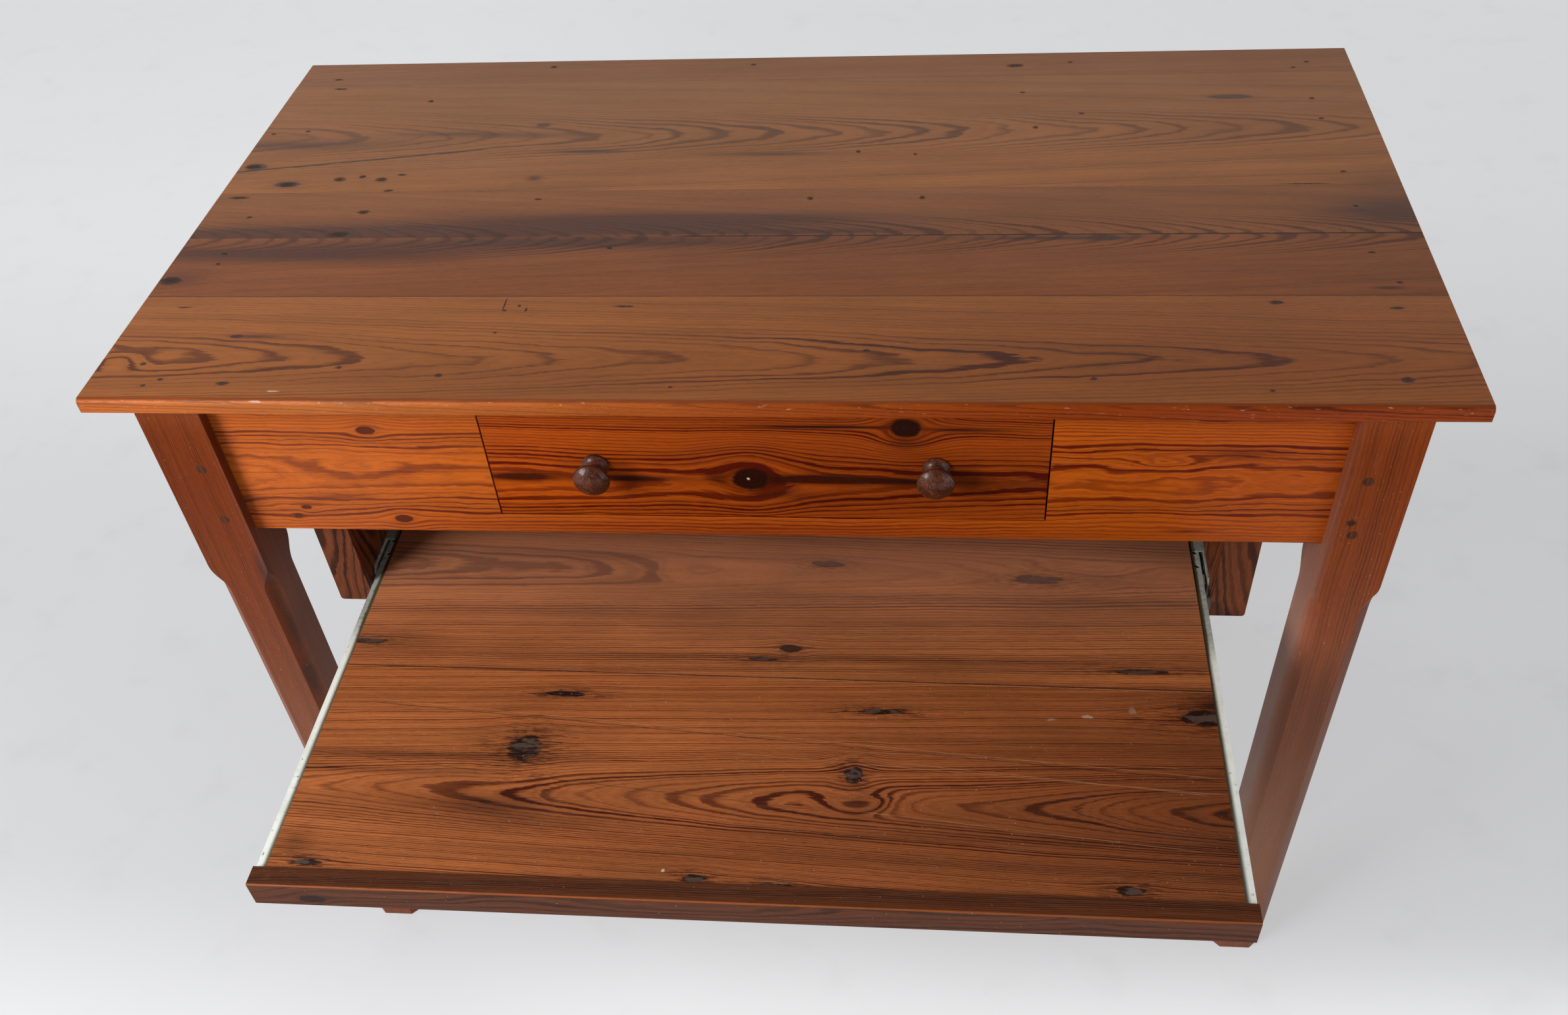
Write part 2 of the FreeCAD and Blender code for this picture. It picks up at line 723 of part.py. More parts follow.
def build_drawer():
    sides = {side: drawer_side(side) for name, side in SIDES}
    bottom = drawer_bottom()
    front = cut_all(drawer_front(), list(sides.values()) + [bottom])
    for name, side in SIDES:
        fixing = knob_screw(side)
        front = front.cut(fixing)
        save("drawer_side_" + name, [sides[side].cut(bottom)])
        save("drawer_knob_" + name, [knob(side).cut(fixing)])
        save("drawer_runner_" + name, [runner(side)])
        save("drawer_guide_" + name, [guide(side)])
        save("drawer_kicker_" + name, [kicker(side)])
    save("drawer_front", [front])
    save("drawer_back", [drawer_back()])
    save("drawer_bottom", [bottom])
    save("knob_screws", [knob_screw(side) for name, side in SIDES])
    save("drawer_stops", [drawer_stop(side) for name, side in SIDES])


def build_slides():
    for name, side in SIDES:
        save("front_roller_" + name, [roller(side, front_roller_y, front_roller_z, front_roller_radius)])
        save("rear_roller_" + name, [roller(side, rear_roller_y, rear_roller_z, rear_roller_radius)])
        save("tray_rail_" + name, [cut_all(rail(side), rail_screws(side) + [rear_axle(side)])])
    save("front_roller_axles", [front_axle(side) for name, side in SIDES])
    save("rear_roller_axles", [rear_axle(side) for name, side in SIDES])
    save("rail_screws", [fixing for name, side in SIDES for fixing in rail_screws(side)])


def build_tray():
    seams = tray_seams()
    dowels = lip_dowels()
    fixings = [fixing for name, side in SIDES for fixing in batten_screws(side, seams)]
    rail_fixings = [fixing for name, side in SIDES for fixing in rail_screws(side)]
    for index in range(len(seams) - 1):
        board = cut_all(tray_board(index, seams), dowels + fixings + rail_fixings)
        save("tray_board_%d" % (index + 1), [board])
    for name, side in SIDES:
        save("tray_batten_" + name, [cut_all(batten(side), fixings)])
    save("tray_lip", [cut_all(tray_lip(), dowels)])
    save("lip_dowels", dowels)
    save("batten_screws", fixings)


os.makedirs(PARTS_FOLDER, exist_ok=True)
build_frame()
build_top()
build_drawer()
build_slides()
build_tray()
print("origin shift in y: %.2f mm" % origin_shift.y)
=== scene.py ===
"""Finishes, camera and studio for a pine tavern table with a drawer and a pull-out tray."""

import math
from functools import reduce

import bpy
from mathutils import Matrix, Vector

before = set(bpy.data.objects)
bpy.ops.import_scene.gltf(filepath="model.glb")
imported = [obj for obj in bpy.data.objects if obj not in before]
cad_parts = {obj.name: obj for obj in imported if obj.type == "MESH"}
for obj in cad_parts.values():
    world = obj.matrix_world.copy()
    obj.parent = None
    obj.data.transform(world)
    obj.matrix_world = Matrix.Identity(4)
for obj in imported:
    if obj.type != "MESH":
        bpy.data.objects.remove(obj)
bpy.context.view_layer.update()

# Places on the table are in mm, with y counted from the middle of the top.
MM_PER_M = 1000.0
TOP_MIDDLE_Y = 144.5
TOP_Z = 762.0
TOP_FRONT_Y = -299.0
TRAY_Z = 522.0
TRAY_SIDE_X = 369.5
LIP_TOP_Z = 524.0
LIP_FRONT_Y = -588.0
HANGER_FRONT_Y = -255.0
LEG_INNER_X = 456.0

# ---- Shader maths ----------------------------------------------------------------------------


def paint(red, green, blue):
    """A display colour, 0 to 255, as the linear colour that a shader takes."""
    def linear(part):
        part /= 255.0
        return part / 12.92 if part <= 0.04045 else ((part + 0.055) / 1.055) ** 2.4
    return linear(red), linear(green), linear(blue), 1.0


class Wire:
    """A value that varies over a finish; arithmetic on it adds Math nodes."""

    def __init__(self, finish, socket):
        self.finish = finish
        self.socket = socket

    def __add__(self, other):
        return self.finish.math("ADD", self, other)

    def __sub__(self, other):
        return self.finish.math("SUBTRACT", self, other)

    def __rsub__(self, other):
        return self.finish.math("SUBTRACT", other, self)

    def __mul__(self, other):
        return self.finish.math("MULTIPLY", self, other)

    def __truediv__(self, other):
        return self.finish.math("DIVIDE", self, other)

    def __rpow__(self, other):
        return self.finish.math("POWER", other, self)

    __radd__ = __add__
    __rmul__ = __mul__

    def whole(self):
        return self.finish.math("FLOOR", self)

    def part(self):
        return self.finish.math("FRACT", self)

    def root(self):
        return self.finish.math("SQRT", self)

    def size(self):
        return self.finish.math("ABSOLUTE", self)

    def least(self, other):
        return self.finish.math("MINIMUM", self, other)

    def most(self, other):
        return self.finish.math("MAXIMUM", self, other)

    def held(self):
        """The value kept between 0 and 1."""
        return self.most(0.0).least(1.0)

    def rise(self, start, end):
        """0 up to start and 1 from end, or the other way about, with an even change between them."""
        settings = {"interpolation_type": "SMOOTHSTEP"}
        low, high, at_low, at_high = (start, end, 0.0, 1.0) if start < end else (end, start, 1.0, 0.0)
        inputs = {"Value": self, "From Min": low, "From Max": high, "To Min": at_low, "To Max": at_high}
        return self.finish.node("ShaderNodeMapRange", settings, inputs)


class Finish:
    """The nodes of a material or of the studio's air, emptied and ready to be made."""

    # A colour mix has its sockets after those for numbers and vectors, under names that they share.
    FACTOR, FIRST_COLOUR, SECOND_COLOUR, MIXED_COLOUR = 0, 6, 7, 2

    def __init__(self, owner):
        self.owner = owner
        owner.use_nodes = True
        self.tree = owner.node_tree
        self.tree.nodes.clear()

    def node(self, kind, settings, inputs, output=0):
        """Any node: its type, its settings, the values or wires of its sockets, and the output wanted."""
        made = self.tree.nodes.new(kind)
        for key, value in settings.items():
            setattr(made, key, value)
        for key, value in inputs.items():
            if isinstance(value, Wire):
                self.tree.links.new(value.socket, made.inputs[key])
            else:
                made.inputs[key].default_value = value
        return Wire(self, made.outputs[output]) if made.outputs else None

    def math(self, operation, *values):
        return self.node("ShaderNodeMath", {"operation": operation}, dict(enumerate(values)))

    def vector(self, operation, *values, output="Vector"):
        return self.node("ShaderNodeVectorMath", {"operation": operation}, dict(enumerate(values)), output)

    def dot(self, one, other):
        return self.vector("DOT_PRODUCT", one, other, output="Value")

    def scaled(self, vector, factor):
        return self.node("ShaderNodeVectorMath", {"operation": "SCALE"}, {"Vector": vector, "Scale": factor})

    def mix(self, factor, first, second, blend="MIX"):
        settings = {"data_type": "RGBA", "blend_type": blend}
        inputs = {self.FACTOR: factor, self.FIRST_COLOUR: first, self.SECOND_COLOUR: second}
        return self.node("ShaderNodeMix", settings, inputs, self.MIXED_COLOUR)

    def noise(self, place, detail=2.0, roughness=0.5):
        inputs = {"Vector": place, "Scale": 1.0, "Detail": detail, "Roughness": roughness}
        return self.node("ShaderNodeTexNoise", {"noise_dimensions": "3D"}, inputs)

    def cloud(self, place, size, detail, roughness=0.5):
        """A noise whose marks are about size mm across, whichever way they run."""
        return self.noise(self.scaled(place, 1 / size), detail, roughness)

    def place(self):
        """The point on the piece at rest, in mm, with y from the middle of the top."""
        inside = self.node("ShaderNodeTexCoord", {}, {}, "Object")
        return self.vector("MULTIPLY_ADD", inside, (MM_PER_M,) * 3, (0.0, -TOP_MIDDLE_Y, 0.0))

    def parts(self, vector):
        return [self.node("ShaderNodeSeparateXYZ", {}, {"Vector": vector}, axis) for axis in "XYZ"]

    def join(self, x, y, z):
        return self.node("ShaderNodeCombineXYZ", {}, {"X": x, "Y": y, "Z": z})

    def rays(self, *kinds):
        """1 on the rays of each kind and 0 on the others."""
        return [self.node("ShaderNodeLightPath", {}, {}, "Is " + kind + " Ray") for kind in kinds]

    def bump(self, height, distance):
        """A relief that is so many metres high where the height is 1."""
        return self.node("ShaderNodeBump", {}, {"Strength": 1.0, "Distance": distance, "Height": height})

    def close(self, **sockets):
        """The surface: varying sockets by wire, and the rest as plain numbers on the shader."""
        named = {key.replace("_", " "): value for key, value in sockets.items()}
        surface = self.node("ShaderNodeBsdfPrincipled", {}, named)
        self.node("ShaderNodeOutputMaterial", {}, {"Surface": surface})
        return self.owner


def new_finish(name):
    return Finish(bpy.data.materials.new(name))


# ---- Heart pine ------------------------------------------------------------------------------

# How a board lies: which of x, y and z run along its grain, across it and through its depth.
FLAT_ALONG_X = (0, 1, 2)
UPRIGHT_ALONG_X = (0, 2, 1)
UPRIGHT_ALONG_Y = (1, 2, 0)
STANDING = (2, 0, 1)

# The share of a soft spot that is left at its edge, and likewise for what surrounds a knot.
BELL = math.exp(-1.0)
HALO_BELL = math.exp(-0.5)
PUSH_BELL = math.exp(-0.16)
CHECKS_BELL = math.exp(-0.14)

PITCH_PAINT = paint(26, 12, 9)
HOLE_PAINT = paint(44, 25, 16)
BARE_WOOD_AND_GLINT_PAINT = paint(206, 190, 172)
DUST_PAINT = paint(180, 150, 124)

# The relief of the grain, in metres, and how far down from a face its wear reaches, in mm.
GRAIN_RELIEF = 0.00022
WORN_DEPTH = 1.2


class Look:
    """What sets one board apart.  Sizes are in mm; a spot is (along, across, half length, half height)."""

    # The growth rings.
    seed = 0.0          # tells boards apart that are otherwise alike
    ring = 2.0          # mean spacing
    taper = 0.03        # how fast the rings close in along the grain; above 0 the tips point that way
    wave = 3.0          # how far they wander in long swells
    ripple = 0.8        # how far they wander in short ones, in spacings
    uneven = 1.8        # how much the spacing differs from place to place
    begin = 0.62        # the share of a year before its dark part begins, at the latest
    late = 1.0          # strength of the dark lines
    fine = 0.25         # strength of the faint lines between them
    eyes = ()           # spots and a rise: lines bow to the heart where it is above 0, and away below it
    calm = None         # (near, far, share): on the worn face, lines fade to a share at far from the heart

    # Knots.
    knots = ()          # spots and a push: how far the lines are pushed round it, in half heights
    knot_paint = paint(40, 18, 10)
    knot_ash = None     # paint of the grey lumps in worn knots
    knot_lumps = 1.0    # how lumpy a knot's outline is
    knot_rag = 2.4      # how ragged a knot's outline is
    checks = 0.0        # strength of the short cracks round worn knots

    # Marks, and painted glints.
    stains = ()         # spots and a strength
    blots = ()          # (along, across, depth, half length, half width, half depth, strength)
    stain_paint = paint(62, 26, 18)
    follow = 0.0        # 0 for stains that ignore the dark lines, 1 for stains that sit in them
    washes = ()         # spots, a strength, a paint and how it blends
    lines = ()          # (across where along is 0, slope, wander, from, to, half width, paint, strength)
    holes = ()          # spots
    chips = ()          # spots and a strength

    # The surface, its wear, and the painted highlights, sheen and lifted shade laid on it.
    gloss = 0.36        # roughness of the polish
    shine = 0.1         # strength of its highlights
    mottle = 0.5        # how cloudy the tone is
    dust = 0.0          # strength of the pale dust in the grain
    face = None         # (depth, light, dark): a face that has worn to other colours
    haze = None         # (depth of the face, paint, across at the front, share there, the same at the back)
    arrises = ()        # (across, depth, reach, along where full, along where gone, paint, strength)
    scuffs = None       # (across, reach, paint, strength)

    def __init__(self, **own):
        for key, value in own.items():
            if not hasattr(Look, key):
                raise TypeError("a board has no " + key)
            setattr(self, key, value)


class Board:
    """A board while its finish is made: places on it, the noises of its wood, and its colour so far."""

    def __init__(self, name, lie, heart, light, dark, look):
        f = new_finish(name)
        xyz = f.parts(f.place())
        self.finish, self.look, self.heart = f, look, heart
        self.light, self.dark = light, dark
        self.place = f.join(*[xyz[axis] for axis in lie])
        self.along, self.across, self.depth = f.parts(self.place)
        self.shift = (look.seed * 7.3, look.seed * 3.1, look.seed * 5.7)
        self.other_shift = (look.seed * 5.7,) * 3
        self.bend_round_knots()

        # Noises of the wood, some bent round the knots with the rings.
        place, bent, shift, other_shift = self.place, self.bent, self.shift, self.other_shift
        self.ragged = self.noise(place, 4.5, 1.6, shift, 4.0, 0.7) - 0.5
        self.lumps = self.noise(place, 17, 7, shift, 2.0) - 0.5
        self.patch = self.noise(place, 150, 40, other_shift, 4.0, 0.55)
        self.wind = self.noise(place, 24, 40, other_shift, 2.0)
        self.fibre = self.noise(bent, 46, 0.7, shift, 3.0, 0.65)
        self.streak = self.noise(bent, 160, 4.5, other_shift, 3.0, 0.6)

    # Tools

    def noise(self, place, along, across, shift, detail, roughness=0.5):
        """A noise whose marks are about so many mm along the grain and across it."""
        stretched = self.finish.vector("MULTIPLY_ADD", place, (1 / along, 1 / across, 1 / across), shift)
        return self.finish.noise(stretched, detail, roughness)

    def from_spot(self, place, u, v, half_u, half_v):
        """The way from a spot's middle, in halves of its size."""
        middle = (-u / half_u, -v / half_v, 0.0)
        return self.finish.vector("MULTIPLY_ADD", place, (1 / half_u, 1 / half_v, 0.0), middle)

    def far(self, *spot):
        """How far from a spot's middle, squared, where 1 is its edge."""
        way = self.from_spot(self.place, *spot)
        return self.finish.dot(way, way)

    def on_face(self, face_depth):
        """1 on the face at that depth, as far down as wear reaches, and 0 below."""
        return self.depth.rise(face_depth - WORN_DEPTH, face_depth - WORN_DEPTH + 1.0)

    def lay(self, share, over, blend="MIX"):
        """Lay a colour over the board's own."""
        self.colour = self.finish.mix(share, self.colour, over, blend)

    # The wood

    def bend_round_knots(self):
        """Rings pass round each knot, so the board is squeezed towards the knot's line near it."""
        f = self.finish
        self.bent = self.place
        self.knot_distances = []
        for u, v, half_u, half_v, push in self.look.knots:
            way = self.from_spot(self.place, u, v, half_u, half_v)
            far = f.dot(way, way)
            squeeze = f.vector("MULTIPLY", way, (0.0, half_v * push, 0.0))
            self.bent = f.vector("SUBTRACT", self.bent, f.scaled(squeeze, PUSH_BELL ** far))
            self.knot_distances.append(far)

    def year_count(self):
        """How many years lie between the heart and a place, and how the spacing drifts there."""
        f, look, ring = self.finish, self.look, self.look.ring
        heart_across, heart_depth = self.heart
        swell = self.noise(self.bent, 190, 60, self.shift, 1.0)
        ripple = self.noise(self.bent, 40, 12, self.shift, 2.0)
        section = f.vector("MULTIPLY_ADD", self.bent, (0.0, 1.0, 1.0), (0.0, -heart_across, -heart_depth))
        radius = f.vector("LENGTH", section, output="Value")
        reach = radius + self.along * look.taper + swell * (2 * look.wave) + ripple * (look.ripple * ring)
        reach = reach + self.fibre * (0.5 * ring)
        for *spot, rise in look.eyes:
            way = self.from_spot(self.bent, *spot)
            reach = reach + (BELL ** f.dot(way, way)) * rise
        drift_place = {"W": reach / (ring * 5.0) + look.seed, "Scale": 1.0}
        drift = f.node("ShaderNodeTexNoise", {"noise_dimensions": "1D"}, drift_place)
        return reach / ring + drift * look.uneven, drift

    def grow(self):
        """The colour of the years: slow to darken, quick to end, no two alike; then pores and tone."""
        f, look, fibre, streak, patch = self.finish, self.look, self.fibre, self.streak, self.patch
        count, drift = self.year_count()
        band = drift - 0.5
        turn = count.part()
        year_place = {"W": count.whole() + look.seed * 11}
        year = f.node("ShaderNodeTexWhiteNoise", {"noise_dimensions": "1D"}, year_place)
        darkening = ((turn - (look.begin - year * 0.3)) / 0.2).held()
        latewood = darkening * turn.rise(1.0, 0.94) * (0.6 + year * 0.4)
        between = (count * 2.37).part().rise(0.3, 0.95)
        strength = 0.45 + patch + (streak - 0.5) * 0.8 + band * 1.4
        line = latewood.most(between * look.fine) * look.late * strength
        if look.face is not None:
            # The face has lost its shine and gone brown, and the edges keep their orange.
            face_depth, face_light, face_dark = look.face
            worn = self.on_face(face_depth)
            self.light, self.dark = f.mix(worn, self.light, face_light), f.mix(worn, self.dark, face_dark)
            if look.calm is not None:
                near, far, share = look.calm
                from_heart = (self.across - self.heart[0]).size()
                line = line * (from_heart.rise(near, far) * worn * (share - 1.0) + 1.0)
        line = line.held()
        self.line = line

        pores = self.noise(self.bent, 8, 0.5, self.shift, 2.0, 0.6).rise(0.58, 0.7)
        tone = (0.68 - 0.5 * look.mottle) + patch * look.mottle + fibre * 0.16 + streak * 0.56
        tone = tone - band * 0.3 - pores * 0.22
        self.colour = f.scaled(f.mix(line, self.light, self.dark), tone)
        self.height = fibre * 0.6 - line * 0.6 - pores * 0.5
        self.rough = look.gloss + fibre * 0.12 + line * 0.05

    # Marks

    def stain(self):
        f, look = self.finish, self.look
        parts = [(BELL ** self.far(*spot)) * strength for *spot, strength in look.stains]
        for u, v, w, half_u, half_v, half_w, strength in look.blots:
            way = f.vector("MULTIPLY_ADD", self.place, (1 / half_u, 1 / half_v, 1 / half_w),
                           (-u / half_u, -v / half_v, -w / half_w))
            parts.append((BELL ** f.dot(way, way)) * strength)
        if parts:
            in_grain = 0.1 + self.streak * 1.1 + self.fibre * 0.7
            in_lines = self.line * (0.6 * look.follow) + (1.0 - 0.4 * look.follow)
            mark = (sum(parts) * in_grain * in_lines).held()
            self.lay(mark, f.mix(self.line * 0.6, look.stain_paint, PITCH_PAINT))

    def wash(self):
        for *spot, strength, wash_paint, blend in self.look.washes:
            share = (BELL ** self.far(*spot)) * (0.6 + self.patch * 0.8) * strength
            self.lay(share, wash_paint, blend)

    def rule_lines(self):
        """Seams, cracks and scratches, fainter and stronger along their length and with a ragged edge."""
        for v, slope, wander, start, end, half_width, line_paint, strength in self.look.lines:
            off = self.across - self.along * slope - v + (self.wind - 0.5) * wander
            off = off + self.ragged * (half_width * 1.4)
            reach = self.along.rise(start - 8, start + 8) * self.along.rise(end + 8, end - 8)
            broken = (self.wind * 1.6 - 0.3 + self.fibre * 0.6) if wander else 0.5 + self.fibre
            gap = off.size().rise(half_width * 1.3, half_width * 0.5) * reach * broken * strength
            self.lay(gap.held(), line_paint)
            self.height = self.height - gap * 2.0

    def set_knots(self):
        """Dark knots with rings of their own, a shaded edge, and cracks and grey lumps in worn ones."""
        if not self.knot_distances:
            return
        f, look, ragged = self.finish, self.look, self.ragged
        nearest = reduce(Wire.least, self.knot_distances)
        halo = (HALO_BELL ** nearest) * (0.45 + ragged)
        self.lay(halo.most(0.0), f.mix(0.4, self.dark, look.knot_paint))
        if look.checks:
            dashes = self.noise(self.place, 11, 1.3, self.shift, 3.0, 0.6).rise(0.5, 0.58)
            self.lay(dashes * (CHECKS_BELL ** nearest) * look.checks, look.knot_paint)
        ovals = (nearest.root() * 3.0 + ragged * 2.0).part()
        core = f.mix(ovals * 0.6, look.knot_paint, f.mix(0.4, look.knot_paint, self.dark))
        if look.knot_ash is not None:
            lump = (ragged * 0.6 + self.lumps - nearest * 0.1).rise(-0.08, 0.06)
            core = f.mix(lump * 0.85, core, look.knot_ash)
        inside = (nearest + ragged * look.knot_rag + self.lumps * look.knot_lumps).rise(1.3, 0.8)
        self.lay(inside, core)
        self.height = self.height - inside * (0.5 + self.fibre * 1.5)

    def drill(self):
        """Nail holes and worm holes with dark rims."""
        if self.look.holes:
            nearest = reduce(Wire.least, [self.far(*hole) for hole in self.look.holes])
            pit = (nearest + self.ragged * 3.2).rise(1.3, 0.2) * 0.9
            self.lay(pit, HOLE_PAINT)
            self.height = self.height - pit * 2.0

    def chip(self):
        """Small bare places where the finish has gone, and painted glints in the same pale colour."""
        for *spot, strength in self.look.chips:
            self.lay((self.far(*spot) + self.ragged * 5.0).rise(1.1, 0.3) * strength, BARE_WOOD_AND_GLINT_PAINT)

    # Wear

    def lay_haze_and_painted_light(self):
        """A pale film over a face that grows from the front to the back. It is partly real dullness and dust
        and partly painted light: on the top a painted reflection of the wall behind, and on the tray a
        painted lift of the shade under the apron.
        """
        if self.look.haze is not None:
            face_depth, haze_paint, front, front_share, back, back_share = self.look.haze
            haze_and_light_share = self.across.rise(front, back) * (back_share - front_share) + front_share
            haze_and_light_share = haze_and_light_share * self.on_face(face_depth)
            self.lay(haze_and_light_share * (0.7 + self.patch * 0.6), haze_paint)
            self.rough = self.rough + haze_and_light_share * 0.3

    def settle_dust(self):
        """Pale dust in the grain, and specks of it on top."""
        if self.look.dust:
            in_grain = self.noise(self.bent, 60, 0.5, self.other_shift, 3.0, 0.7).rise(0.56, 0.72)
            specks = self.noise(self.place, 2.4, 1.6, self.other_shift, 1.0).rise(0.76, 0.8)
            self.lay((in_grain * self.look.dust).most(specks * 0.7), DUST_PAINT)

    def wear_arrises(self):
        # Crests along the edges, of wear and of painted highlights.
        for v, w, reach, full, gone, arris_paint, strength in self.look.arrises:
            crest = ((self.across - v).size() + (self.depth - w).size()).rise(reach, 0.3 * reach)
            crest = crest * self.along.rise(gone, full)
            self.lay(crest * (strength * (0.4 + self.fibre * 1.2)), arris_paint)

    def scuff(self):
        """Short pale scrapes along a line."""
        if self.look.scuffs is not None:
            v, reach, scuff_paint, strength = self.look.scuffs
            scrapes = self.noise(self.place, 9, 1.8, self.shift, 3.0, 0.6).rise(0.64, 0.72)
            self.lay((self.across - v).size().rise(reach, 0.6 * reach) * scrapes * strength, scuff_paint)


def pine(name, lie, heart, light, dark, **own):
    """Old heart pine: growth rings about a heart line, cut by the board's faces, its marks and wear, and the
    painted light and shade that some boards are given.

    lie is how the board lies, heart the (across, depth) of the tree's middle, light and dark the colours
    of a year's two parts, and own what the board has unlike the rest, named as in Look."""
    board = Board(name, lie, heart, light, dark, Look(**own))
    board.grow()
    board.stain()
    board.wash()
    board.rule_lines()
    board.set_knots()
    board.lay_haze_and_painted_light()
    board.drill()
    board.chip()
    board.settle_dust()
    board.wear_arrises()
    board.scuff()
    normal = board.finish.bump(board.height, GRAIN_RELIEF)
    return board.finish.close(Base_Color=board.colour, Roughness=board.rough,
                              Specular_IOR_Level=board.look.shine, Normal=normal)


def shade(red, green, blue):
    """A wash that keeps these shares of the wood's own colour."""
    return (red, green, blue, 1.0), "MULTIPLY"


def tint(red, green, blue):
    """A wash of a display colour over the wood."""
    return paint(red, green, blue), "MIX"


# ---- Other finishes --------------------------------------------------------------------------

# Reliefs, in metres.
TOOTH_RELIEF = 0.00002
ENAMEL_RELIEF = 0.0001
PORE_RELIEF = 0.00012


def plain(name, colour, rough, metallic=0.0, mottle=0.12):
    """Plastic or metal with a light mottle and a fine tooth."""
    f = new_finish(name)
    place = f.place()
    mist = f.cloud(place, 30.0, 3.0)
    tooth = f.noise(f.scaled(place, 1.3), 2.0)
    tone = f.scaled(colour[:3], 1.0 - mottle / 2 + mist * mottle)
    return f.close(Base_Color=tone, Roughness=rough + mist * 0.15, Metallic=metallic,
                   Normal=f.bump(tooth, TOOTH_RELIEF))


def enamel(name, white_paint, worn_paint, worn_share):
    """Old white enamel with rust, brown-green grime where the steel meets the wood, and a darkening just in
    front of the hangers.
    """
    f = new_finish(name)
    place = f.place()
    x, y, z = f.parts(place)
    wear = f.cloud(place, 24.0, 4.0, 0.6)
    fine = f.cloud(place, 3.5, 3.0, 0.6)
    near_wood = x.size().rise(TRAY_SIDE_X + 5.0, TRAY_SIDE_X + 1.0)
    # It is also darker just in front of the hangers, under the apron.
    near_hanger = y.rise(HANGER_FRONT_Y - 85.0, HANGER_FRONT_Y - 41.0) * (0.35 + fine * 0.5)
    dirt_and_darkening = (near_wood + fine.rise(0.6, 0.75) * 0.45 + near_hanger).least(1.0)
    colour = f.mix(wear.rise(0.4, 0.65) * worn_share, white_paint, worn_paint)
    colour = f.mix(dirt_and_darkening, colour, paint(74, 70, 48))
    colour = f.mix(fine.rise(0.68, 0.74) * 0.7, colour, paint(92, 56, 34))
    return f.close(Base_Color=colour, Roughness=0.36 + wear * 0.2, Coat_Weight=0.1,
                   Normal=f.bump(fine, ENAMEL_RELIEF))


def walnut(name):
    """Dark turned wood: dark pores and short pale flecks that run aslant, and a soft shine."""
    f = new_finish(name)
    turn = {"Vector": f.place(), "Angle": math.radians(38.0)}
    aslant = f.node("ShaderNodeVectorRotate", {"rotation_type": "Y_AXIS"}, turn)
    pores = f.noise(f.vector("MULTIPLY", aslant, (1.3, 1.3, 0.06)), 3.0, 0.65)
    flecks = f.noise(f.vector("MULTIPLY", aslant, (1.7, 1.7, 0.1)), 2.0, 0.6)
    figure = f.noise(f.vector("MULTIPLY", aslant, (0.3, 0.3, 0.05)), 2.0)
    colour = f.mix(figure.rise(0.3, 0.7), paint(88, 40, 22), paint(60, 27, 15))
    colour = f.mix(pores.rise(0.5, 0.6) * 0.85, colour, paint(30, 13, 8))
    colour = f.mix(flecks.rise(0.56, 0.64) * 0.5, colour, paint(146, 88, 56))
    return f.close(Base_Color=colour, Roughness=0.32 + pores * 0.2, Coat_Weight=0.2, Coat_Roughness=0.07,
                   Specular_IOR_Level=0.2, Normal=f.bump(pores, PORE_RELIEF))


finishes = {}

# ---- Top -------------------------------------------------------------------------------------

TOP_EDGE_PAINTS = paint(150, 64, 4), paint(98, 36, 1)
WORN_AND_HIGHLIT_EDGE_PAINT = paint(246, 178, 132)
SEAM_PAINT = paint(26, 13, 9)
BOTH_ENDS = (-600.0, 600.0)


def seam(v, slope=0.0, half_width=0.4, strength=0.5):
    return v, slope, 0.0, *BOTH_ENDS, half_width, SEAM_PAINT, strength


# The middle seam is closed at the left and open from there on.
MIDDLE_SEAM = ((-57.0, 0.0, 0.0, -600.0, -90.0, 0.4, SEAM_PAINT, 0.3),
               (-57.0, 0.0, 0.0, -90.0, 600.0, 1.0, SEAM_PAINT, 1.1))


def top_board(name, heart, seed, face_paint, **more):
    """A board of the top: orange at its edges and browner and hazier on its upper face, where the pale film
    is partly a painted reflection of the wall behind and grows towards the back.
    """
    look = dict(seed=seed, face=(TOP_Z, face_paint, paint(80, 36, 14)), shine=0.12, gloss=0.36, fine=0.12,
                haze=(TOP_Z, paint(140, 116, 98), -300.0, 0.0, 300.0, 0.4), stain_paint=paint(76, 38, 26),
                knot_paint=paint(58, 34, 24), mottle=0.7)
    look.update(more)
    return pine(name, FLAT_ALONG_X, heart, *TOP_EDGE_PAINTS, **look)


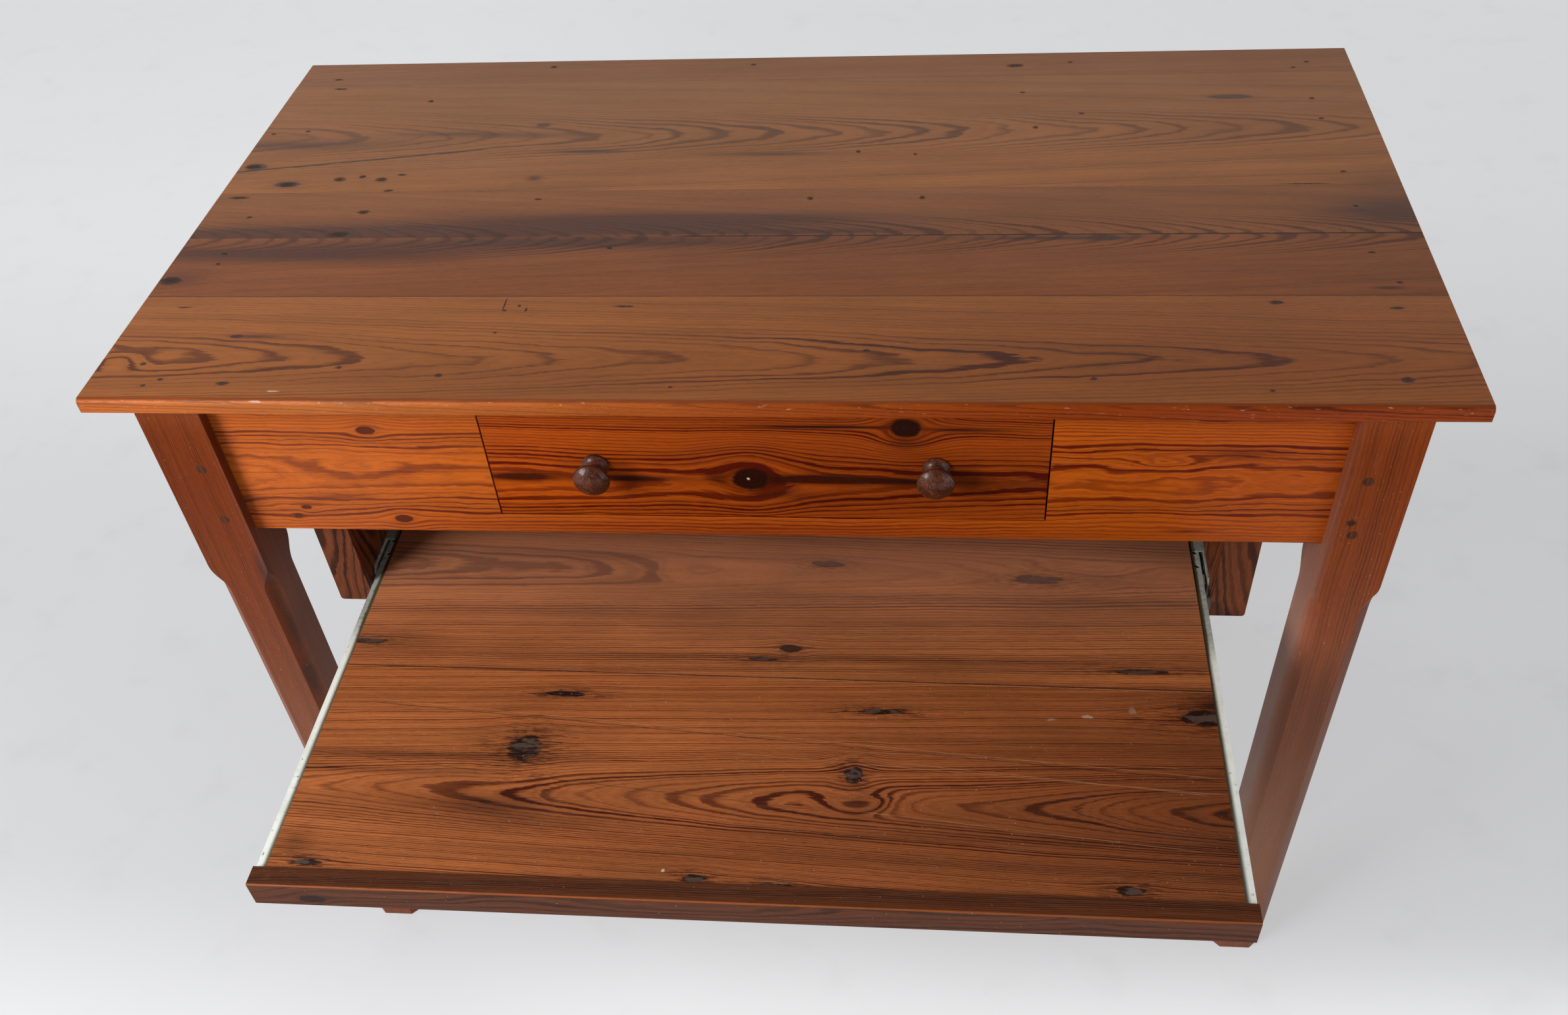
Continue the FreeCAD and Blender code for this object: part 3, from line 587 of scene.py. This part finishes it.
finishes["top_board_1"] = top_board(
    "top_front_pine", (-240, 694), 1.0, paint(152, 88, 38), ring=2.4, taper=0.028, wave=2.6, gloss=0.26,
    begin=0.76, uneven=0.9, calm=(16.0, 42.0, 0.45),
    knots=[(-440, -211, 5, 2.0, 0.7)],
    eyes=[(-530, -247, 26, 14, 5.0)],
    chips=[(-383, -286, 5, 1.2, 0.6), (-394, -297.5, 5, 0.9, 0.5)],
    # The first wash is painted shade over the right end, the third a painted highlight along the left part of
    # the front edge, and the last painted shade along the right part of it.
    washes=[(420, -240, 300, 80, 0.55, *shade(0.55, 0.44, 0.36)),
            (60, -230, 300, 80, 0.4, *shade(0.7, 0.62, 0.55)),
            (-330, -300, 300, 4, 0.2, *tint(244, 160, 84)),
            (430, -300, 420, 4, 0.9, *shade(0.86, 0.74, 0.4))],
    stains=[(-424, -211, 24, 3.5, 0.8), (-240, -275, 420, 22, 0.25)],
    holes=[(-502, -168, 7, 1.2), (-505, -250, 3, 2.5), (-482, -271, 2.5, 2), (-493, -279, 2.5, 2),
           (-428, -276, 6, 2.5), (-339, -254, 3, 2), (-254, -264, 3.5, 2.5), (-222, -205, 2, 1.5),
           (-121, -167, 10, 1.5), (-66, -278, 2, 1.5), (83, -229, 3.5, 2), (257, -265, 3, 2.5),
           (487, -265, 5, 4), (498, -170, 6, 2), (407, -162, 6, 3), (387, -279, 2, 2),
           (-223, -164, 0.8, 11), (-221, -173, 2.0, 1.4), (-210, -166, 1.6, 1.8), (-203, -172, 1.2, 3.5)],
    lines=[seam(-152, strength=0.7)],
    # Along the front edge: a dark band just behind it on the top, and a pale crest over its left part that is
    # wear with a painted highlight on it.
    arrises=[(TOP_FRONT_Y + 3.0, TOP_Z, 3.0, 600.0, 900.0, paint(112, 46, 8), 0.8),
             (TOP_FRONT_Y + 0.4, TOP_Z - 0.4, 1.4, -380.0, 200.0, WORN_AND_HIGHLIT_EDGE_PAINT, 1.6)],
    scuffs=(TOP_FRONT_Y + 0.2, 2.4, paint(226, 186, 160), 0.4))

finishes["top_board_2"] = top_board(
    "top_second_pine", (-60, 724), 2.0, paint(128, 70, 34), ring=2.1, taper=0.08, wave=1.6, late=1.15,
    begin=0.72, calm=(12.0, 36.0, 0.3),
    stains=[(-440, -84, 190, 13, 1.2), (-180, -66, 220, 10, 1.1), (-520, -124, 26, 12, 0.6),
            (240, -63, 60, 2.5, 1.6), (498, -141, 12, 2, 1.4)],
    knots=[(-531, -127, 10, 6, 0.8), (279, -63, 14, 4, 0.8)],
    holes=[(-531, -126, 8, 5), (-498, -100, 2.5, 2), (-498, -83, 3, 2), (508, -133, 3, 2),
           (495, -88, 3, 2), (-149, -76, 3, 2)],
    lines=[*MIDDLE_SEAM, seam(-151.5)])

finishes["top_board_3"] = top_board(
    "top_third_pine", (-56, 724), 3.0, paint(136, 78, 38), ring=2.1, taper=0.08, wave=1.6, late=1.15,
    begin=0.72, calm=(12.0, 36.0, 0.3),
    stains=[(-450, -50, 200, 9, 1.2), (-250, -46, 300, 12, 1.1), (-100, -28, 240, 13, 1.1),
            (20, -50, 110, 4, 0.9), (530, -20, 60, 26, 1.2)],
    knots=[(-400, -52, 12, 6, 0.8)],
    holes=[(-402, -51, 9, 4.5), (-391, -12, 6, 3.5), (-498, -20, 3, 2), (-521, 16, 10, 2.5),
           (496, -13, 3, 2), (21, 7, 3, 3), (-231, 9, 4, 1.5), (122, 7, 3, 3)],
    lines=[*MIDDLE_SEAM, seam(24, half_width=0.35, strength=0.3)])

# The long crack runs aslant from the left end.
finishes["top_board_4"] = top_board(
    "top_fourth_pine", (130, 694), 4.0, paint(156, 92, 42), ring=2.4, taper=0.05, wave=3.0, late=0.95,
    begin=0.75, calm=(18.0, 46.0, 0.4),
    washes=[(-280, 130, 320, 260, 0.4, *shade(0.72, 0.8, 0.95))],
    stains=[(-200, 99, 34, 3, 1.3), (-20, 90, 60, 4, 0.9), (-500, 118, 110, 12, 0.8), (-340, 137, 60, 5, 0.8),
            (-260, 132, 50, 5, 0.6), (530, 10, 40, 30, 0.7), (-243, 48, 7, 5, 1.0)],
    knots=[(-483, 40, 12, 5, 0.7), (-256, 154, 7, 3.5, 0.6), (416, 195, 20, 4, 1.1), (-526, 75, 10, 6, 0.7)],
    holes=[(-482, 40, 8, 4.5), (-528, 75, 8, 4.0), (-433, 49, 6, 4.5), (-412, 54, 3.5, 3), (-392, 48, 6, 4.5),
           (-374, 57, 5, 2), (-379, 27, 5, 2), (-492, 240, 8, 2), (-386, 209, 3, 3), (-497, 147, 2.5, 2),
           (-531, 142, 2.5, 2), (217, 210, 3, 2), (272, 164, 3, 2), (227, 137, 3, 3), (60, 93, 2.5, 2.5),
           (114, 87, 2, 2), (494, 148, 3, 2), (492, 189, 3, 2), (496, 47, 3, 2), (461, 26, 22, 1.0)],
    lines=[seam(24, half_width=0.35, strength=0.3), seam(247),
           (157.0, 0.17, 3.0, -540, -304, 1.5, paint(26, 13, 8), 1.3)])

finishes["top_board_5"] = top_board(
    "top_back_pine", (330, 650), 5.0, paint(148, 84, 38), ring=1.6, taper=0.01, wave=3.0, late=0.36,
    washes=[(-280, 280, 320, 260, 0.4, *shade(0.72, 0.8, 0.95))],
    holes=[(-501, 262, 5, 2), (-272, 284, 4, 2.5), (-59, 282, 3.5, 2), (211, 270, 9, 4), (267, 276, 3, 2),
           (500, 268, 3, 2), (485, 256, 2.5, 2)],
    lines=[seam(247)])

# ---- Aprons ----------------------------------------------------------------------------------

APRON_PAINTS = paint(180, 86, 16), paint(88, 16, 0)

finishes["front_apron"] = pine(
    "front_apron_pine", UPRIGHT_ALONG_X, (664, -200), *APRON_PAINTS, seed=6.0, ring=2.2, taper=0.006,
    wave=3.5, ripple=1.1, gloss=0.3, fine=0.3, late=0.95, begin=0.66, uneven=0.8,
    eyes=[(385, 700, 80, 16, -2.4), (320, 686, 34, 7, 2.6), (-345, 672, 60, 12, 3.0), (300, 628, 60, 9, 2.0),
          (-415, 640, 40, 9, 2.0)],
    knots=[(-326, 712, 7.5, 4.2, 1.0), (-318, 616, 7.5, 4.0, 1.0), (-402, 628, 4.5, 2.2, 1.0),
           (-412, 618, 3.2, 2.2, 1.0)],
    knot_rag=0.9, knot_paint=paint(84, 36, 14),
    # The second wash is painted shade over the right end.
    washes=[(-400, 665, 240, 120, 0.06, *tint(214, 150, 104)),
            (420, 665, 200, 150, 0.6, *shade(0.8, 0.64, 0.45)),
            (0, 609, 330, 14, 1.0, *shade(0.62, 0.52, 0.8))],
    stains=[(-454, 637, 22, 4, 0.7), (-368, 640, 26, 4, 0.7), (378, 695, 26, 6, 0.7),
            (346, 614, 20, 1.6, 0.9)],
    stain_paint=paint(96, 32, 4),
    lines=[(673, 0.0155, 0.0, *BOTH_ENDS, 0.4, paint(70, 26, 8), 0.4)])

finishes["back_apron"] = pine(
    "back_apron_pine", UPRIGHT_ALONG_X, (660, 200), *APRON_PAINTS, seed=33.0, ring=2.4, taper=0.01, wave=5.0,
    gloss=0.32)

for seed, side, heart_x in ((30.0, "left", -440), (31.0, "right", 440)):
    finishes["side_apron_" + side] = pine(
        "side_apron_" + side + "_pine", UPRIGHT_ALONG_Y, (670, heart_x), *APRON_PAINTS, seed=seed, ring=2.2,
        taper=0.01, wave=5.0, gloss=0.32)

# ---- Drawer ----------------------------------------------------------------------------------

finishes["drawer_front"] = pine(
    "drawer_front_pine", UPRIGHT_ALONG_X, (661, -207.3), paint(160, 71, 11), paint(80, 15, 0), seed=7.0,
    ring=1.7, taper=0.012, wave=2.0, gloss=0.28, fine=0.35, late=1.05, uneven=0.6,
    # The first wash is painted light over the left end, and the second painted shade over the right half.
    washes=[(-200, 680, 120, 80, 0.4, *shade(1.5, 1.4, 1.2)),
            (100, 670, 200, 90, 0.6, *shade(0.62, 0.52, 0.46))],
    knots=[(-12, 665, 15, 11, 1.1), (115, 718, 12, 8.5, 1.3)],
    knot_rag=0.9, knot_lumps=0.7, knot_paint=paint(26, 9, 4),
    # The pale spot in the middle of the main knot is a painted glint.
    chips=[(-14, 665, 1.3, 1.3, 0.8)],
    stains=[(42, 665, 46, 4.6, 1.7), (96, 664, 40, 3.0, 0.9), (170, 663, 60, 7, 0.6), (-205, 665, 34, 5, 1.5),
            (-110, 664, 40, 3.2, 1.2), (-42, 665, 10, 6, 0.7), (50, 719, 60, 1.6, 1.2),
            (160, 717, 36, 2.0, 1.0), (20, 648, 30, 5, 0.5), (115, 704, 14, 10, 0.5)],
    stain_paint=paint(62, 18, 2))

finishes["drawer_knob_left"] = finishes["drawer_knob_right"] = walnut("knob_wood")

# ---- Tray ------------------------------------------------------------------------------------

SCRATCH_PAINT = paint(186, 132, 92)
TRAY_SEAM = seam(-361, slope=-0.011, half_width=0.8, strength=0.7)


def scratch(v, slope, start, end, half_width=0.4, strength=0.45, wander=1.5, scratch_paint=SCRATCH_PAINT):
    return v, slope, wander, start, end, half_width, scratch_paint, strength


finishes["tray_board_1"] = pine(
    "tray_front_pine", FLAT_ALONG_X, (-491, 474), paint(168, 97, 51), paint(74, 22, 3), seed=10.0, ring=1.25,
    taper=-0.032, wave=2.4, fine=0.2, late=0.9, begin=0.7, gloss=0.44, dust=0.2, mottle=1.2,
    eyes=[(86, -490, 30, 11, 4.6)],
    knots=[(-170, -385, 15, 2.6, 0.8), (99, -396, 18, 2.6, 0.8), (364, -394, 24, 7, 0.7),
           (-191, -446, 14, 13, 0.35), (79, -463, 7.5, 8.5, 0.7), (288, -563, 10, 4, 0.8),
           (-35, -567, 9, 4, 0.8), (24, -571, 16, 3, 0.8), (-339, -564, 12, 3, 0.7)],
    knot_lumps=3.0, knot_rag=1.6, knot_paint=paint(24, 13, 9), knot_ash=paint(78, 64, 54), checks=0.9,
    chips=[(237, -400, 4, 2, 0.2), (266, -396, 5, 2, 0.35), (303, -389, 3, 4, 0.18),
           (-60, -560, 1.6, 1.6, 0.7)],
    # The stains at 330 and 420 along darken the right half, partly stained wood and partly painted shade; the
    # long one at -575 across is a painted shadow along the back of the lip.
    stains=[(330, -520, 200, 66, 0.5), (86, -490, 12, 6, 0.4), (-290, -455, 170, 5, 0.8),
            (-330, -472, 110, 4, 0.7), (120, -522, 280, 4, 0.35), (-60, -545, 300, 4, 0.35),
            (200, -425, 240, 4, 0.4), (-353, -548, 14, 14, 0.6), (-215, -505, 46, 9, 0.9),
            (-160, -516, 60, 7, 0.6), (0, -575, 600, 5, 1.3), (420, -500, 90, 120, 0.5),
            (372, -382, 26, 16, 1.2)],
    stain_paint=paint(60, 24, 10), follow=1.0,
    # The first wash is painted shade over the right half, partly the wood's own darker tone.
    washes=[(330, -470, 260, 110, 0.9, *shade(0.58, 0.48, 0.42)),
            (20, -530, 260, 50, 0.7, *shade(0.66, 0.58, 0.56)),
            (-250, -500, 90, 16, 0.5, *shade(0.6, 0.5, 0.45))],
    lines=[TRAY_SEAM,
           scratch(-362.5, -0.011, -380, 380, wander=0.0),
           scratch(-493, -0.105, -374, 60, half_width=0.5, strength=0.5, scratch_paint=paint(70, 36, 18)),
           scratch(-490, -0.105, 90, 340),
           scratch(-425, -0.085, -330, 365, strength=0.4),
           scratch(-428, -0.085, -330, 365, strength=0.7, scratch_paint=paint(56, 26, 12)),
           scratch(-439, -0.095, 110, 350),
           scratch(-446, -0.07, -20, 365, strength=0.4),
           scratch(-437, -0.03, 60, 365, half_width=0.3, strength=0.4)])

# The two boards behind are sawn from one plank, so one finish runs over both.
finishes["tray_board_2"] = finishes["tray_board_3"] = pine(
    "tray_back_pine", FLAT_ALONG_X, (-230, 466), paint(160, 94, 50), paint(100, 50, 24), seed=8.0, ring=2.0,
    taper=0.02, wave=2.6, fine=0.3, late=1.05, begin=0.66, shine=0.12, gloss=0.44, dust=0.2, mottle=1.1,
    # The pale film that grows towards the back and the two washes that brighten the rear are painted light
    # lifting the shade under the apron, with some dust in the film.
    haze=(TRAY_Z, paint(168, 118, 98), -370.0, 0.0, -190.0, 0.36),
    washes=[(-330, -290, 160, 90, 0.35, *shade(1.6, 1.5, 1.3)),
            (330, -290, 180, 90, 0.35, *shade(2.0, 1.9, 1.6))],
    eyes=[(-76, -231, 50, 14, 4.5), (260, -226, 80, 14, 3.5)],
    knots=[(43, -220, 14, 4, 0.8), (231, -236, 20, 5, 0.8), (18, -327, 9, 4, 0.9), (-5, -340, 12, 2.2, 0.6),
           (-358, -328, 16, 3.5, 0.6), (313, -345, 24, 2.6, 0.6)],
    knot_lumps=2.5, knot_rag=1.6, knot_paint=paint(30, 18, 14), knot_ash=paint(70, 56, 48), checks=0.7,
    stains=[(300, -300, 160, 60, 0.4), (-330, -325, 40, 14, 0.5), (60, -338, 380, 5, 0.5),
            (-120, -290, 300, 5, 0.4), (150, -262, 260, 5, 0.5), (-100, -212, 300, 6, 0.5),
            (300, -236, 60, 12, 0.5)],
    stain_paint=paint(66, 28, 12), follow=1.0,
    lines=[TRAY_SEAM])

finishes["tray_lip"] = pine(
    "tray_lip_pine", UPRIGHT_ALONG_X, (530, -500), paint(88, 42, 15), paint(40, 17, 5), seed=11.0, ring=1.6,
    taper=0.01, wave=4.0, gloss=0.4, shine=0.12, dust=0.15,
    knots=[(-330, 508, 10, 4.5, 0.8)],
    # The crest along the top front edge is wear with a painted highlight on it.
    arrises=[(LIP_TOP_Z, LIP_FRONT_Y, 1.5, 600.0, 900.0, paint(182, 98, 48), 0.6)])

for seed, side, heart_x in ((40.0, "left", -424), (41.0, "right", 424)):
    finishes["tray_hanger_" + side] = pine(
        "tray_hanger_" + side + "_pine", STANDING, (heart_x, -215), paint(100, 50, 24), paint(42, 15, 8),
        seed=seed, ring=5.0, taper=-0.12, wave=5.0, ripple=1.0, late=1.1, uneven=1.0)

rail_enamel = enamel("rail_enamel", paint(230, 234, 226), paint(190, 196, 180), 0.4)
channel_enamel = enamel("channel_enamel", paint(214, 218, 210), paint(140, 142, 126), 0.6)
for side in ("left", "right"):
    finishes["tray_rail_" + side] = rail_enamel
    finishes["slide_channel_" + side] = channel_enamel

# ---- Legs ------------------------------------------------------------------------------------

LEFT_LEG_PAINTS = paint(110, 43, 3), paint(66, 21, 0)
RIGHT_LEG_PAINTS = paint(124, 51, 6), paint(76, 25, 1)


def leg(node, seed, heart, paints, painted_floor_light, painted_inner_light, **marks):
    """A leg with painted light: paler towards the floor as if lit from it, paler on its inner face, and
    brighter just under the top, where painted light lifts the top's shadow.
    """
    whole_width = 400.0
    heart_x = heart[0]
    inner_x = math.copysign(LEG_INNER_X - 1.0, heart_x)
    finishes[node] = pine(
        node + "_pine", STANDING, heart, *paints, seed=seed, ring=1.2, taper=0.004, wave=2.0, gloss=0.34,
        late=0.7, fine=0.35, shine=0.05, dust=0.1,
        washes=[(200.0, heart_x, 280.0, whole_width, painted_floor_light, *tint(144, 110, 92)),
                (300.0, inner_x, 300.0, 5.0, painted_inner_light, *tint(158, 130, 116)),
                (758.0, heart_x, 26.0, whole_width, 0.3, *tint(206, 112, 58))], **marks)


# Dark blots run down the left leg's inner chamfer, and the right leg has a third plug beside its two pegs.
leg("leg_front_left", 20.0, (-400, -160), LEFT_LEG_PAINTS, 0.42, 0.2,
    blots=[(560, -460, -282, 22, 6, 5, 1.0), (520, -458, -279, 18, 6, 4, 1.3),
           (480, -458, -276, 20, 6, 4, 1.1), (418, -459, -279, 14, 6, 5, 2.6),
           (398, -459, -281, 8, 5, 5, 1.6)])
leg("leg_front_right", 21.0, (420, -120), RIGHT_LEG_PAINTS, 0.66, 0.55, holes=[(635.0, 471.0, 3.4, 4.4)])
leg("leg_back_left", 22.0, (-560, 330), LEFT_LEG_PAINTS, 0.42, 0.2)
leg("leg_back_right", 23.0, (560, 330), RIGHT_LEG_PAINTS, 0.5, 0.55)

# ---- Inner pieces and fastenings -------------------------------------------------------------

PIECES_ALONG_X = ("drawer_back", "drawer_bottom", "hanger_cleats", "top_buttons")
PIECES_ALONG_Y = ("drawer_side_left", "drawer_side_right", "drawer_runner_left", "drawer_runner_right",
                  "drawer_guide_left", "drawer_guide_right", "drawer_kicker_left", "drawer_kicker_right",
                  "drawer_stops", "tray_batten_left", "tray_batten_right")
PEGS = ("joint_pegs", "lip_dowels")


def inner_pine(name, lie, heart, seed):
    """Pine that never saw light or polish."""
    return pine(name, lie, heart, paint(186, 130, 76), paint(138, 84, 44), seed=seed, ring=2.4, taper=0.02,
                wave=3.0, gloss=0.5)


def finish_all(nodes, finish):
    for node in nodes:
        finishes[node] = finish


finish_all(PIECES_ALONG_X, inner_pine("inner_pine_along_x", FLAT_ALONG_X, (0, 300), 50.0))
finish_all(PIECES_ALONG_Y, inner_pine("inner_pine_along_y", UPRIGHT_ALONG_Y, (640, 0), 51.0))
finish_all(PEGS, pine("peg_pine", STANDING, (0, 0), paint(84, 44, 24), paint(44, 20, 10), seed=52.0,
                      ring=1.5, taper=0.0, wave=2.0, gloss=0.4))

nylon = plain("roller_nylon", paint(222, 220, 208), 0.4)
zinc = plain("bright_zinc", paint(176, 178, 180), 0.3, metallic=1.0, mottle=0.2)
finish_all([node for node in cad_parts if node.endswith(("_roller_left", "_roller_right"))], nylon)
finish_all([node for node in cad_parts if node.endswith(("screws", "axles"))], zinc)

# ---- Finishes and softened edges on the pieces -----------------------------------------------

# Widths of the worn edges, in mm.
SOFT_EDGE = {
    "top_board_1": 0.7, "top_board_2": 0.4, "top_board_3": 0.4, "top_board_4": 0.4, "top_board_5": 0.5,
    "front_apron": 0.6, "back_apron": 0.6, "side_apron_left": 0.6, "side_apron_right": 0.6,
    "drawer_front": 0.5, "leg_front_left": 1.2, "leg_front_right": 1.2, "leg_back_left": 1.2,
    "leg_back_right": 1.2, "tray_board_1": 0.4, "tray_lip": 0.9, "tray_hanger_left": 0.8,
    "tray_hanger_right": 0.8, "joint_pegs": 0.3, "lip_dowels": 0.3,
}
WELD_REACH = 1e-5
FLAT_WITHIN = math.radians(1.0)
SHARP_FROM = math.radians(35.0)


def soften(piece, width):
    """Worn arrises: flat faces are made whole, then every sharp edge is rounded by width mm."""
    weld = piece.modifiers.new("join_faces", "WELD")
    weld.merge_threshold = WELD_REACH
    flat = piece.modifiers.new("flat_faces", "DECIMATE")
    flat.decimate_type = "DISSOLVE"
    flat.angle_limit = FLAT_WITHIN
    round_off = piece.modifiers.new("worn_edge", "BEVEL")
    round_off.width = width / MM_PER_M
    round_off.segments = 2
    round_off.limit_method = "ANGLE"
    round_off.angle_limit = SHARP_FROM


for node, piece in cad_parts.items():
    piece.data.materials.clear()
    piece.data.materials.append(finishes[node])
    if node in SOFT_EDGE:
        soften(piece, SOFT_EDGE[node])

# ---- Studio ----------------------------------------------------------------------------------

FLOOR_HALF = 8.0


def paper_glow(x, y):
    """How bright the paper looks to the eye, from place to place on the floor."""
    far_off = y.rise(0.0, 1400.0) * 0.15
    far_left = y.rise(300.0, 1300.0) * x.rise(0.0, -1200.0) * 0.04
    in_front = y.rise(-200.0, -560.0) * 0.2
    front_right = y.rise(-250.0, -400.0) * x.rise(-500.0, -100.0) * 0.1
    right_side = x.rise(0.0, 900.0) * y.rise(600.0, 200.0) * 0.05
    return far_off + far_left + in_front + front_right + right_side + 0.42


def paper():
    """Pale paper: it keeps the table's shadow, looks brighter than it is lit, and lights the table."""
    f = new_finish("studio_floor")
    place = f.place()
    x, y, z = f.parts(place)
    camera_ray, glossy_ray, through_ray = f.rays("Camera", "Glossy", "Transmission")
    seen = camera_ray.most(glossy_ray).most(through_ray)
    smudge = f.cloud(place, 90.0, 4.0, 0.6).rise(0.52, 0.8)
    glow = seen * paper_glow(x, y) + seen * smudge * -0.03
    seen_paint = f.mix(f.cloud(place, 500.0, 3.0), paint(132, 133, 135), paint(140, 141, 143))
    return f.close(Base_Color=f.mix(seen, paint(232, 231, 230), seen_paint), Roughness=0.9,
                   Specular_IOR_Level=0.0, Emission_Strength=1.0,
                   Emission_Color=f.join(glow * 0.995, glow * 0.998, glow * 1.012))


def floor(half):
    mesh = bpy.data.meshes.new("studio_floor")
    corners = [(-half, -half, 0), (half, -half, 0), (half, half, 0), (-half, half, 0)]
    mesh.from_pydata(corners, [], [(0, 1, 2, 3)])
    made = bpy.data.objects.new("studio_floor", mesh)
    mesh.materials.append(paper())
    bpy.context.scene.collection.objects.link(made)


def softbox(name, place, aim, width, height, power):
    lamp = bpy.data.lights.new(name, "AREA")
    lamp.shape = "RECTANGLE"
    lamp.size, lamp.size_y = width, height
    lamp.energy = power
    made = bpy.data.objects.new(name, lamp)
    bpy.context.scene.collection.objects.link(made)
    back = [p - a for p, a in zip(place, aim)]
    made.location = place
    made.rotation_mode = "QUATERNION"
    made.rotation_quaternion = Vector(back).to_track_quat("Z", "Y")


def studio_air():
    """A pale wall behind the table, a dark open side in front of it, and pale air to the camera."""
    f = Finish(bpy.data.worlds.new("studio_air"))
    bpy.context.scene.world = f.owner
    lit, to_camera = 0.26, 0.8
    x, y, z = f.parts(f.node("ShaderNodeTexCoord", {}, {}, "Generated"))
    camera_ray, glossy_ray = f.rays("Camera", "Glossy")
    wall = y.rise(-0.5, 0.6) * 0.7 + 0.05
    strength = camera_ray * (to_camera - lit) + glossy_ray * (wall - lit) + lit
    surface = f.node("ShaderNodeBackground", {}, {"Color": (0.96, 0.975, 1.0, 1.0), "Strength": strength})
    f.node("ShaderNodeOutputWorld", {}, {"Surface": surface})


floor(FLOOR_HALF)
softbox("key_softbox", (-2.0, -1.6, 1.8), (0.0, 0.0, 0.6), 1.2, 1.2, 84.0)
softbox("fill_softbox", (2.2, -1.7, 1.2), (0.0, 0.0, 0.5), 1.6, 1.6, 16.0)
softbox("top_softbox", (-1.0, 0.4, 3.2), (-0.3, 0.1, 0.6), 2.6, 2.0, 14.0)
studio_air()

# ---- Camera ----------------------------------------------------------------------------------

# The rendered image's width, the focal length and the shift of the image's centre are in pixels.
IMAGE_WIDTH = 2380.0
FOCAL = 2151.43
CENTRE_SHIFT = (26.41, 191.6)
SENSOR = 36.0
CAMERA_PLACE = (0.13986, -1.16074 + TOP_MIDDLE_Y / MM_PER_M, 1.41202)
YAW, PITCH, ROLL = (math.radians(angle) for angle in (-7.6567, -45.9998, -4.3233))


def camera():
    made = bpy.data.objects.new("camera", bpy.data.cameras.new("camera"))
    bpy.context.scene.collection.objects.link(made)
    made.data.sensor_fit = "HORIZONTAL"
    made.data.sensor_width = SENSOR
    made.data.lens = FOCAL * SENSOR / IMAGE_WIDTH
    made.data.shift_x = -CENTRE_SHIFT[0] / IMAGE_WIDTH
    made.data.shift_y = CENTRE_SHIFT[1] / IMAGE_WIDTH
    turn = Matrix.Rotation(-YAW, 4, "Z") @ Matrix.Rotation(PITCH + math.pi / 2, 4, "X")
    turn = turn @ Matrix.Rotation(ROLL, 4, "Z")
    made.matrix_world = Matrix.Translation(CAMERA_PLACE) @ turn
    bpy.context.scene.camera = made


camera()
bpy.context.scene.view_settings.view_transform = "Standard"
